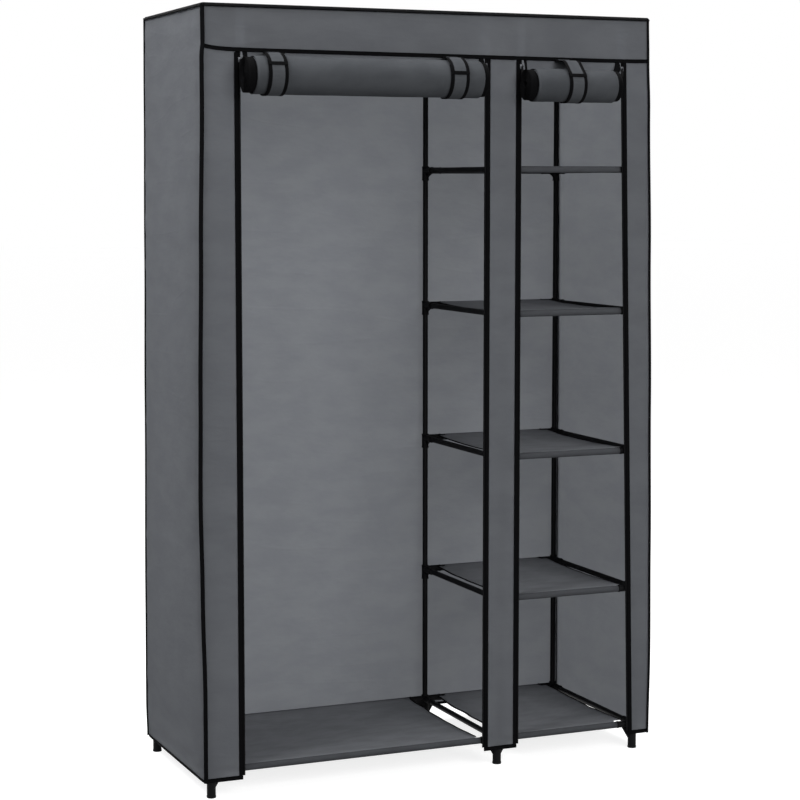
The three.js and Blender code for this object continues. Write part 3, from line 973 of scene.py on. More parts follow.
def rounded_block(low: Point, high: Point, edge: float) -> Mesh:
    """A block with rounded edges.

    Args:
        low: its lowest corner.
        high: its highest corner.
        edge: how far the rounding reaches.

    Returns:
        The closed mesh.
    """
    mesh = bmesh.new()
    low, high = Vector(low), Vector(high)
    matrix = Matrix.Translation((low + high) / 2) @ Matrix.Diagonal((*(high - low), 1.0))
    bmesh.ops.create_cube(mesh, size=1.0, matrix=matrix)
    return softened(mesh, mesh.edges[:], edge, 2)


def flat_web(outline: Outline, thickness: float, edge: float) -> Mesh:
    """A plate that stands about the plane Y = 0, with rounded edges.

    Args:
        outline: its corners in X and Z.
        thickness: its thickness.
        edge: how far the rounding reaches.

    Returns:
        The closed mesh.
    """
    mesh = bmesh.new()
    face = mesh.faces.new([mesh.verts.new((x, -thickness / 2, z)) for x, z in outline])
    grown = bmesh.ops.extrude_face_region(mesh, geom=[face])
    lifted = [item for item in grown["geom"] if isinstance(item, bmesh.types.BMVert)]
    bmesh.ops.translate(mesh, verts=lifted, vec=(0, thickness, 0))
    bmesh.ops.recalc_face_normals(mesh, faces=mesh.faces[:])
    rims = [e for e in mesh.edges if abs(e.verts[0].co.y - e.verts[1].co.y) < WELD]
    return softened(mesh, rims, edge, 1)


@dataclass
class TubeFrame:
    """The push-fit frame: tubes, moulded connectors, feet, caps and the hanging rail."""

    post_x: float = 535.0
    post_y: float = 210.0
    divider_x: float = 171.0
    levels: tuple[float, ...] = (60.0, 394.0, 728.0, 1062.0, 1396.0, 1730.0)
    tube_radius: float = 6.5
    joint_heights: tuple[float, ...] = (620.0, 1190.0)
    joint_length: float = 26.0
    joint_step: float = 0.35
    sleeve_radius: float = 9.0
    sleeve_below: float = 25.0
    sleeve_above: float = 10.0
    arm_radius: float = 8.5
    arm_reach: float = 42.0
    arm_grip: float = 4.0
    cap_above: float = 18.7
    post_foot: float = 6.3
    post_top: float = 1745.4
    gusset_reach: float = 33.0
    gusset_depth: float = 26.0
    foot_gusset_depth: float = 54.0
    gusset_thickness: float = 3.4
    gusset_hollow: float = 4.0
    gusset_edge: float = 0.5
    gusset_steps: int = 5
    foot_radius: float = 10.6
    foot_pad: float = 5.0
    foot_below: float = 20.0
    socket_span: float = 36.0
    socket_reach: float = 30.0
    socket_grip: float = 6.0

    def columns(self) -> tuple[tuple[str, float], ...]:
        """The three columns of posts, by name and place across."""
        return (("left", -self.post_x), ("middle", self.divider_x), ("right", self.post_x))

    def connector(self, x: float, y: float, z: float, arms: Sequence[int]) -> list[Mesh]:
        """One moulded connector at a post.

        Args:
            x: the post's place across.
            y: the post's place in depth.
            z: the height of the arms.
            arms: headings of the arms, 0 to 3 for +X, +Y, -X and -Y.

        Returns:
            The meshes of its sleeve, arms and webs.
        """
        foot = z == self.levels[0]
        cap = z == self.levels[-1]
        bottom = 0.0 if foot else z - self.sleeve_below
        top = z + (self.cap_above if cap else self.sleeve_above)
        parts = [collar(self.sleeve_radius, (x, y, bottom), (x, y, top))]
        if foot:
            boot_top = (x, y, z - self.foot_below)
            parts.append(collar(self.foot_radius, (x, y, 0), boot_top, self.foot_pad))
        depth = self.foot_gusset_depth if foot else self.gusset_depth
        hollow = 0.0 if foot else self.gusset_hollow
        curve = [
            (self.gusset_reach * (1 - s), hollow * math.sin(math.pi * s) - depth * s)
            for s in shares(self.gusset_steps)[1:-1]
        ]
        outline = [(0.0, 0.0), (self.gusset_reach, 0.0), *curve, (0.0, -depth)]
        for heading in arms:
            turn = Matrix.Rotation(heading * math.pi / 2, 4, "Z")
            arm = collar(self.arm_radius, (0, 0, 0), (self.arm_reach, 0, 0))
            web = flat_web(outline, self.gusset_thickness, self.gusset_edge)
            for part in (arm, web):
                part.transform(Matrix.Translation((x, y, z)) @ turn)
                parts.append(part)
        return parts

    def tube(self, start: Point, end: Point) -> Mesh:
        """A length of tube between two points."""
        return bar(self.tube_radius, start, end)

    def build(self) -> None:
        """Builds and dresses every piece of the frame."""
        self.posts()
        self.end_rails()
        self.shelf_frames()
        self.hanging_rail()

    def posts(self) -> None:
        """The six posts. The left ones show the joints of their short tubes."""
        for row in Row:
            y = row.value * self.post_y
            for side, x in self.columns():
                parts = [self.tube((x, y, self.post_foot), (x, y, self.post_top))]
                if side == "left":
                    parts += [self.joint_ring(x, y, z) for z in self.joint_heights]
                name = f"{row.name.lower()}_{side}"
                Piece(
                    f"upright_{name}", POWDER_COAT, Slot.FRAME, (f"post_{name}",),
                ).make(gathered(parts))

    def joint_ring(self, x: float, y: float, z: float) -> Mesh:
        """The shoulder where one tube of a tall post is pushed into the next."""
        return bar(self.tube_radius + self.joint_step, (x, y, z), (x, y, z + self.joint_length))

    def end_rails(self) -> None:
        """The base and top rails with their connectors, and the crossbars."""
        left, middle, right = [x for _, x in self.columns()]
        for label, z in (("base", self.levels[0]), ("top", self.levels[-1])):
            for row, inward in ((Row.FRONT, 1), (Row.BACK, 3)):
                y = row.value * self.post_y
                parts = [
                    self.tube((left, y, z), (middle, y, z)),
                    self.tube((middle, y, z), (right, y, z)),
                    *self.connector(left, y, z, (0, inward)),
                    *self.connector(middle, y, z, (0, 2, inward)),
                    *self.connector(right, y, z, (2, inward)),
                ]
                name = row.name.lower()
                Piece(
                    f"{label}_rail_{name}", MOULDED_BLACK, Slot.FRAME, (f"{label}_{name}_rail",),
                ).make(gathered(parts))
            reach = self.post_y - self.arm_reach + self.arm_grip
            for side, x in self.columns():
                Piece(
                    f"{label}_cross_tube_{side}", POWDER_COAT, Slot.FRAME,
                    (f"{label}_crossbar_{side}",),
                ).make(self.tube((x, -reach, z), (x, reach, z)))

    def shelf_frames(self) -> None:
        """The four-sided frame under each raised shelf."""
        near, far, y = self.divider_x, self.post_x, self.post_y
        for k, z in enumerate(self.levels[1:-1], start=1):
            corners = ((near, -y, z), (far, -y, z), (near, y, z), (far, y, z))
            parts = [
                self.tube(corners[a], corners[b]) for a, b in ((0, 1), (2, 3), (0, 2), (1, 3))
            ]
            for corner, arms in zip(corners, ((0, 1), (2, 1), (0, 3), (2, 3))):
                parts += self.connector(*corner, arms)
            Piece(
                f"shelf_tubes_{k}", MOULDED_BLACK, Slot.FRAME, (f"shelf_frame_{k}",),
            ).make(gathered(parts))

    def hanging_rail(self) -> None:
        """The hanging rail and the two sockets that carry it on the top crossbars."""
        z = self.levels[-1]
        left, right = -self.post_x, self.divider_x
        inset = self.socket_reach - self.socket_grip
        Piece("clothes_rail", POWDER_COAT, Slot.FRAME, ("hanging_rail",)).make(
            self.tube((left + inset, 0, z), (right - inset, 0, z))
        )
        half = self.socket_span / 2
        for side, x, way in (("left", left, 1), ("right", right, -1)):
            clip = collar(self.sleeve_radius, (x, -half, z), (x, half, z))
            arm = collar(self.arm_radius, (x, 0, z), (x + way * self.socket_reach, 0, z))
            Piece(
                f"rail_socket_{side}", MOULDED_BLACK, Slot.CONNECTOR,
                (f"hanging_rail_socket_{side}",),
            ).make(gathered([clip, arm]))


@dataclass
class ClothShelves:
    """The six cloth shelves: each a sagging sheet hemmed round its front and back rails."""

    frame: TubeFrame
    rail_play: float = 0.3
    cloth: float = 0.9
    sag: float = 6.0
    ripple: float = 0.8
    hem_inset: float = 44.0
    hem_length: float = 34.0
    hem_tuck: float = 13.0
    hem_lift: float = 4.5
    wrap_share: float = 0.8
    side_inset: float = 24.0
    base_side_inset: float = 18.0
    wide_shelf_inset: float = 44.0
    notch: float = 16.0
    notch_ramp: float = 3.0
    edge_wave: float = 4.5
    edge_wave_pitch: float = 70.0
    least_wave: float = 0.4
    other_edge: float = 7.0  # sets the waves of a shelf's two edges apart
    edge_tape: Band = field(default_factory=lambda: Band(5.0, 2.0, sides=8))
    columns: int = 34
    rows: int = 44

    def edge(self, x: float, y: float, inward: float, seed: float) -> float:
        """Where the wavy side edge runs at a depth, never outside its place.

        Args:
            x: the edge's outermost place.
            y: the depth.
            inward: 1 if the cloth lies towards +X from the edge, -1 if towards -X.
            seed: tells one shelf's edge from another's.

        Returns:
            The edge's place across.
        """
        swing = noise.noise(Vector((y / self.edge_wave_pitch, seed, 0.0)))
        return x + inward * max(self.edge_wave * (1 + swing), self.least_wave)

    def fall(self, y: float) -> float:
        """How far the cloth sags at a depth."""
        return self.sag * (1 - (y / self.frame.post_y) ** 2)

    def sheet(self, name: str, node: str, ends: tuple[float, float], hems: tuple[float, float],
              z: float, seed: float) -> None:
        """Builds one shelf with its side bindings.

        Args:
            name: the piece's name.
            node: the node that it stands for.
            ends: the side edges' places across.
            hems: where the hems round the rails start and end.
            z: the rails' height.
            seed: tells its waves from other shelves'.
        """
        hem = self.frame.tube_radius + self.rail_play + self.cloth / 2
        reach = self.frame.post_y
        width = ends[1] - ends[0]

        def depth(across: float) -> float:
            """How far the cloth reaches at a share across: less beside the hems."""
            x = mixed(*ends, across)
            inside = min(x - hems[0], hems[1] - x)
            held = eased((inside + self.notch_ramp / 2) / self.notch_ramp)
            return reach - self.notch * (1 - held)

        def deck(across: float, up: float) -> Vector:
            """A point of the shelf, by share across and towards the back."""
            y = mixed(-depth(across), depth(across), up)
            low = self.edge(ends[0], y, 1, seed)
            high = self.edge(ends[1], y, -1, seed + self.other_edge)
            x = mixed(low, high, across)
            ripple = self.ripple * noise.noise(Vector((x / 60.0, y / 90.0, seed)))
            return Vector((x, y, z + hem - self.fall(y) + ripple * (1 - (y / reach) ** 4)))

        def sleeve(across: float, up: float, way: int) -> Vector:
            """A point of a hem, by share across and round the rail, which ends tucked inwards."""
            x = mixed(*hems, across)
            if up > self.wrap_share:
                tucked = (up - self.wrap_share) / (1 - self.wrap_share)
                y = way * (reach - self.hem_tuck * tucked)
                return Vector((x, y, z - hem + tucked * self.hem_lift))
            turn = math.pi * (0.5 - up / self.wrap_share)
            return Vector((x, way * (reach + hem * math.cos(turn)), z + hem * math.sin(turn)))

        top = warped_grid(self.columns, self.rows, deck, (width, 2 * reach))
        sleeves = [
            warped_grid(
                24, 20, lambda across, up, way=way: sleeve(across, up, way),
                (hems[1] - hems[0], self.hem_length),
            )
            for way in (-1, 1)
        ]
        bindings = []
        far = reach - self.notch
        for x, inward, extra in ((ends[0], 1, 0.0), (ends[1], -1, self.other_edge)):
            path = [
                Vector((self.edge(x, y, inward, seed + extra), y, z + hem - self.fall(y)))
                for y in (mixed(-far, far, share) for share in shares(60))
            ]
            bindings.append(self.edge_tape.laid(path, ALONG_X))
        tape = Piece(f"{name}_binding", BINDING, Slot.SHELF).make(gathered(bindings))
        # The hems take a base colour painted darker than the shelf cloth, as painted shade along the rails.
        hem_cloth = Piece(
            f"{name}_hems", HEM_CLOTH_PAINTED_SHADE, Slot.SHELF, (node,), thickness=self.cloth,
        ).make(gathered(sleeves))
        cloth = Piece(name, SHELF_CLOTH, Slot.SHELF, (node,), thickness=self.cloth).make(top)
        length = 2 * (reach + self.hem_length)
        declare_sheet(
            cloth, width, length, Held.STRETCHED, self.rail_name(node), [tape, hem_cloth],
        )

    def rail_name(self, node: str) -> str:
        """The frame piece that a shelf hangs on."""
        return f"shelf_tubes_{node[-1]}" if node[-1].isdigit() else "base_rail_front"

    def build(self) -> None:
        """Builds the bottom shelves and the four raised ones."""
        left, middle, right = [x for _, x in self.frame.columns()]
        hems = (middle + self.hem_inset, right - self.hem_inset)
        for k, z in enumerate(self.frame.levels[:-1]):
            which = str(k) if k else "base_right"
            node = f"shelf_{k}" if k else "base_shelf_right"
            inset = self.side_inset if k else self.base_side_inset
            ends = (middle + self.side_inset, right - inset)
            self.sheet(f"cloth_shelf_{which}", node, ends, hems, z, seed=3.0 * k + 1.0)
        end = middle - self.wide_shelf_inset
        self.sheet(
            "cloth_shelf_base_left", "base_shelf_left", (left + self.side_inset, end),
            (left + self.hem_inset, end), self.frame.levels[0], seed=31.0,
        )


@dataclass(frozen=True)
class Seam:
    """A corner seam of the cover: its height, place across and depth, from the hem to the roof."""

    points: tuple[Point, ...]

    def at(self, z: float) -> Vector:
        """The seam's place at a height.

        Args:
            z: the height.

        Returns:
            The point on the seam.
        """
        held = min(max(z, self.points[0][0]), self.points[-1][0])
        for (z0, x0, y0), (z1, x1, y1) in zip(self.points, self.points[1:]):
            if held <= z1:
                share = eased((held - z0) / (z1 - z0))
                return Vector((mixed(x0, x1, share), mixed(y0, y1, share), z))
        return Vector((*self.points[-1][1:], z))


@dataclass(frozen=True)
class Folds:
    """The soft unevenness of a panel: broad waves, small ones, packing folds and puckers."""

    seed: float
    broad: float = 2.4
    broad_size: float = 320.0
    small: float = 0.8
    small_size: float = 75.0
    drop: float = 1.6  # how much longer the broad waves are up than across
    fold_heights: tuple[float, ...] = ()
    fold_depth: float = 1.1
    fold_width: float = 7.0
    pucker: float = 2.2
    pucker_pitch: float = 34.0
    pucker_reach: float = 16.0

    def depth(self, across: float, up: float) -> float:
        """How far the cloth stands off its plane.

        Args:
            across: the place across the panel.
            up: the height.

        Returns:
            The distance, negative where the cloth lies behind its plane.
        """
        size, small = self.broad_size, self.small_size
        wide = noise.noise(Vector((across / size, up / (self.drop * size), self.seed)))
        near = noise.noise(Vector((across / small, up / small, self.seed + 9)))
        folds = sum(math.exp(-(((up - z) / self.fold_width) ** 2)) for z in self.fold_heights)
        return self.broad * wide + self.small * near - self.fold_depth * folds

    def gather(self, off_seam: float, along: float) -> float:
        """How far the stitching draws the cloth in or out beside a seam.

        Args:
            off_seam: the distance from the seam.
            along: the place along the seam.

        Returns:
            The distance, negative where the cloth is drawn in.
        """
        share = off_seam / self.pucker_reach
        wave = noise.noise(Vector((along / self.pucker_pitch, self.seed + 4, off_seam / 90)))
        return self.pucker * wave * share * math.exp(1 - share)


@dataclass
class Cover:
    """The sewn cover: roof, header, back, two sides and three front strips, with their bindings."""

    frame: TubeFrame
    width: float = 1100.0
    depth: float = 450.0
    height: float = 1750.0
    hem: float = 38.0
    cloth: float = 0.8
    wall_drop: float = 1.2
    front_plane: float = -223.2
    header_plane: float = -224.9
    header_height: float = 101.0
    header_low: float = 1648.0
    header_drop: float = 4.0
    header_gap: float = 1.0
    left_lift: tuple[float, float] = (7.5, 28.0)  # the header's lift at a corner, and its reach
    right_lift: tuple[float, float] = (2.0, 40.0)
    roof_plane: float = 1749.6
    roof_dip: float = 5.5
    swell_reach: float = 26.0
    swell_fade: float = 55.0  # how far below the roof a wall takes to stand out fully
    fold_fade: float = 60.0  # how far from a seam the folds take to reach their depth
    hem_slack: float = 25.0  # lets part of the folds run out through the hem
    left_zip_x: float = -471.0
    strip_left_x: float = 138.0
    strip_right_x: float = 209.0
    right_zip_top_x: float = 490.0
    right_zip_bottom_x: float = 524.0
    zip_top: float = 1650.0
    zip_bottom: float = 46.0
    piping: Band = field(default_factory=lambda: Band(10.4, 3.6))
    piping_out: float = 0.8
    roof_tape: Band = field(default_factory=lambda: Band(10.6, 3.4))
    roof_tape_drop: float = 3.6
    roof_tape_out: float = 1.4
    hem_tape: Band = field(default_factory=lambda: Band(7.0, 2.4))
    hem_tape_lift: float = 1.5
    wide_tape: Band = field(default_factory=lambda: Band(10.0, 2.6))
    wide_tape_lift: float = 3.5
    header_tape: Band = field(default_factory=lambda: Band(9.2, 2.6))
    header_tape_lift: float = 4.0
    edge_tape: Band = field(default_factory=lambda: Band(9.6, 1.4))
    edge_tape_lap: float = 3.0
    edge_tape_out: float = 0.9
    front_left: Seam = Seam((
        (38, -551, -224.2), (227, -551, -224.2), (451, -555, -224.2), (673, -558, -224.2),
        (893, -556, -224.2), (1219, -552, -224.2), (1542, -547, -224.2), (1640, -547, -224.2),
        (1662, -544.5, -224.6), (1750, -545, -224.6),
    ))
    front_right: Seam = Seam((
        (38, 569, -224.2), (239, 572, -224.2), (484, 570, -224.2), (847, 566, -224.2),
        (1205, 561, -224.2), (1536, 555, -224.2), (1653, 551, -224.6), (1750, 549, -224.6),
    ))
    back_left: Seam = Seam((
        (38, -550, 229), (119, -550, 236), (365, -550, 232), (850, -548, 225),
        (1207, -546, 221), (1557, -544, 218.5), (1750, -543, 217.7),
    ))
    back_right: Seam = Seam((
        (38, 556, 229), (239, 557, 233), (484, 556, 231), (850, 552, 225),
        (1207, 549, 221), (1557, 545, 218.5), (1750, 543, 217.7),
    ))

    def between(self, first: Seam, last: Seam, high: float, swell: tuple[float, float],
                folds: Folds, cells: tuple[int, int]) -> Mesh:
        """A panel that hangs from the roof between two seams and swells outwards a little.

        Args:
            first: the seam on its left, seen from outside with the roof up, for the left side.
            last: the seam on its other side.
            high: the height of its upper edge.
            swell: how far it stands out at its lower and its upper edge.
            folds: its unevenness.
            cells: faces across and up.

        Returns:
            The open mesh.
        """
        low = self.hem
        span = (last.at(low) - first.at(low)).length

        def place(across: float, up: float) -> Vector:
            """A point of the panel, by share across and up."""
            z = mixed(low, high, up)
            start, end = first.at(z), last.at(z)
            run = (end - start).normalized()
            outward = Vector((-run.y, run.x, 0))
            distance = span * min(across, 1 - across)
            rise = math.sin(min(distance / self.swell_reach, 1.0) * math.pi / 2)
            free = eased(distance / self.fold_fade) * eased((high - z) / self.fold_fade)
            free *= eased((z - low + self.hem_slack) / self.fold_fade)
            stand = mixed(*swell, up) * rise * eased((high - z + 1) / self.swell_fade)
            stand += folds.depth(across * span, z) * free
            stand += folds.gather(distance, z) + folds.gather(high - z, across * span) * rise
            return start.lerp(end, across) + outward * stand

        return warped_grid(*cells, place, (span, high - low))

    def right_zip_x(self, z: float) -> float:
        """Where the leaning right zip's outer edge is at a height."""
        share = (self.zip_top - z) / (self.zip_top - self.zip_bottom)
        return mixed(self.right_zip_top_x, self.right_zip_bottom_x, share)

    def build(self) -> None:
        """Builds every panel and binding of the cover, and its zips."""
        self.roof()
        self.walls()
        self.corners()
        self.strips()
        self.header()
        self.zips()

    def panel(self, name: str, mesh: Mesh, edging: str, tape: Mesh, flat: tuple[float, float],
              held: Held = Held.HUNG, on: str | list[str] = "roof_cloth") -> None:
        """Args:
            name: what the panel is, as in its node's name.
            mesh: the cloth's shape.
            edging: what the tape is.
            tape: the tape's shape.
            flat: the cloth's flat width and length.
            held: how it is held.
            on: what it rests on or hangs from.
        """
        sewn = Piece(f"{name}_{edging}", BINDING, Slot.COVER).make(tape)
        cloth = Piece(
            f"{name}_cloth", COVER_CLOTH, Slot.COVER, (f"cover_{name}",), thickness=self.cloth,
        ).make(mesh)
        declare_sheet(cloth, *flat, held, on, [sewn])

    def roof(self) -> None:
        """The roof, which rests on the caps and top rails and dips between them."""
        seams = (self.front_left, self.front_right, self.back_right, self.back_left)
        corners = [seam.at(self.height) for seam in seams]
        posts = [x for _, x in self.frame.columns()]

        def place(across: float, up: float) -> Vector:
            """A point of the roof, by share across and towards the back."""
            front = corners[0].lerp(corners[1], across)
            point = front.lerp(corners[3].lerp(corners[2], across), up)
            bays = 0.0
            for left, right in zip(posts, posts[1:]):
                share = min(max((point.x - left) / (right - left), 0), 1)
                bays += abs(math.sin(math.pi * share))
            dip = self.roof_dip * bays * math.sin(math.pi * up) ** 0.7
            ripple = 0.5 * noise.noise(Vector((point.x / 90, point.y / 120, 3.0)))
            point.z = self.roof_plane - dip + ripple * math.sin(math.pi * up)
            return point

        loop = []
        for a, b in zip(corners, corners[1:] + corners[:1]):
            loop += [a.lerp(b, share) for share in shares(24)[:-1]]
        loop.append(loop[0].copy())
        across = []
        path = []
        for i, point in enumerate(loop):
            before = loop[i - 1] if i else loop[-2]
            after = loop[i + 1] if i + 1 < len(loop) else loop[1]
            heading = (after - before).normalized()
            outward = Vector((heading.y, -heading.x, 0))
            if outward.dot(point) < 0:
                outward.negate()
            across.append((UPWARDS - outward).normalized())
            seam = Vector((point.x, point.y, self.height - self.roof_tape_drop))
            path.append(seam + outward * self.roof_tape_out)
        mesh = warped_grid(96, 40, place, (1094.0, 444.0))
        self.panel(
            "roof", mesh, "piping", self.roof_tape.along(path, across), (self.width, self.depth),
            Held.STRETCHED, ["top_rail_front", "top_rail_back"],
        )

    def walls(self) -> None:
        """The left side, the back and the right side, with their hems."""
        top = self.height - self.wall_drop
        packed = (560.0, 1120.0)
        packed_back = (330.0, 560.0, 840.0, 1120.0, 1400.0)
        walls = (
            ("left_side", self.front_left, self.back_left, (3.0, 5.5), (50, 150),
             Folds(2.0, fold_heights=packed), self.depth),
            ("back", self.back_left, self.back_right, (1.5, 7.0), (110, 150),
             Folds(5.0, broad=1.9, fold_heights=packed_back), self.width),
            ("right_side", self.back_right, self.front_right, (3.0, 5.5), (50, 150),
             Folds(8.0, fold_heights=packed), self.depth),
        )
        for name, first, last, swell, cells, folds, width in walls:
            mesh = self.between(first, last, top, swell, folds, cells)
            run = (last.at(self.hem) - first.at(self.hem)).normalized()
            lift = UPWARDS * self.hem_tape_lift
            hem = [v.co + lift for v in mesh.verts if abs(v.co.z - self.hem) < WELD]
            hem.sort(key=lambda point: point.dot(run))
            tape = self.hem_tape.laid(hem, UPWARDS)
            self.panel(name, mesh, "hem", tape, (width, top - self.hem))

    def corners(self) -> None:
        """The piping down the four corner seams."""
        corners = (
            ("front_left", self.front_left, Vector((-1, -1, 0))),
            ("front_right", self.front_right, Vector((1, -1, 0))),
            ("back_left", self.back_left, Vector((-1, 1, 0))),
            ("back_right", self.back_right, Vector((1, 1, 0))),
        )
        for name, seam, outward in corners:
            out = outward.normalized()
            path = [
                seam.at(mixed(self.hem - 1, self.height - 2, share)) + out * self.piping_out
                for share in shares(120)
            ]
            Piece(f"{name}_piping", BINDING, Slot.COVER).make(
                self.piping.laid(path, Vector((-out.y, out.x, 0)))
            )

    def strips(self) -> None:
        """The two flanges beside the doorways and the strip between them."""
        top = self.height - self.wall_drop
        low = self.hem + self.wide_tape_lift
        reach = self.edge_tape.width - self.edge_tape_lap
        plans = (
            ("left_flange", lambda z: self.front_left.at(z).x, lambda z: self.left_zip_x,
             Folds(12.0, broad=1.6), 79.0, 12, (0, 1)),
            ("middle_strip", lambda z: self.strip_left_x, lambda z: self.strip_right_x,
             Folds(15.0, broad=1.3), 71.0, 10, (-1, 1)),
            ("right_flange", self.right_zip_x, lambda z: self.front_right.at(z).x,
             Folds(18.0, broad=1.6), 60.0, 12, (-1, 0)),
        )
        for name, low_x, high_x, folds, width, columns, bound in plans:
            def place(across: float, up: float, low_x: Line = low_x, high_x: Line = high_x,
                      folds: Folds = folds) -> Vector:
                """A point of the strip, by share across and up."""
                z = mixed(self.hem, top, up)
                x = mixed(low_x(z), high_x(z), across)
                free = math.sin(math.pi * across) * eased((self.header_low - 20 - z) / 120)
                stand = min(folds.depth(x, z), 2.2) * free
                return Vector((x, self.front_plane - stand, z))

            start = Vector((low_x(low) + (bound[0] * reach or -1), self.front_plane, low))
            end = Vector((high_x(low) + (bound[1] * reach or 1), self.front_plane, low))
            bands = [self.wide_tape.straight(start, end, UPWARDS)]
            for way, edge_x in zip(bound, (low_x, high_x)):
                if way:
                    aside = way * (reach - self.edge_tape_lap) / 2
                    path = [
                        Vector((edge_x(z) + aside, self.front_plane - self.edge_tape_out, z))
                        for z in (
                            mixed(self.hem + 1, self.header_low - 2, share) for share in shares(80)
                        )
                    ]
                    bands.append(self.edge_tape.laid(path, ALONG_X))
            mesh = warped_grid(columns, 170, place, (width, top - self.hem))
            self.panel(name, mesh, "binding", gathered(bands), (width, top - self.hem))

    def header_edge(self, x: float) -> float:
        """The height of the header's lower edge, which lifts a little at the corners.

        Args:
            x: the place across.

        Returns:
            The height.
        """
        left = self.front_left.at(self.header_low).x
        right = self.front_right.at(self.header_low).x
        level = self.header_low - self.header_drop * (x - left) / (right - left)
        level += self.left_lift[0] * math.exp((left - x) / self.left_lift[1])
        return level + self.right_lift[0] * math.exp((x - right) / self.right_lift[1])

    def header(self) -> None:
        """The header across the front, with its bound lower edge."""
        top = self.height - self.header_gap
        folds = Folds(21.0, broad=1.2, small=0.5)
        left, right = self.front_left.at(self.height).x, self.front_right.at(self.height).x

        def place(across: float, up: float) -> Vector:
            """A point of the header, by share across and up."""
            x = mixed(left, right, across)
            z = mixed(self.header_edge(x), top, up)
            free = math.sin(math.pi * across) ** 0.3 * (1 - up)
            return Vector((x, self.header_plane - max(folds.depth(x, z), -0.2) * free, z))

        path = [place(share, 0.0) + UPWARDS * self.header_tape_lift for share in shares(150)]
        flat = (self.width, self.header_height)
        mesh = warped_grid(150, 16, place, flat)
        self.panel("header", mesh, "binding", self.header_tape.laid(path, UPWARDS), flat)

    def zips(self) -> None:
        """The four zips beside the doorways."""
        for name, top, bottom, way in (
            ("left_door_left", self.left_zip_x, self.left_zip_x, 1),
            ("left_door_right", self.strip_left_x, self.strip_left_x, -1),
            ("right_door_left", self.strip_right_x, self.strip_right_x, 1),
            ("right_door_right", self.right_zip_top_x, self.right_zip_bottom_x, -1),
        ):
            Zip(name, top, bottom, way, self.front_plane, self.zip_top, self.zip_bottom).build()


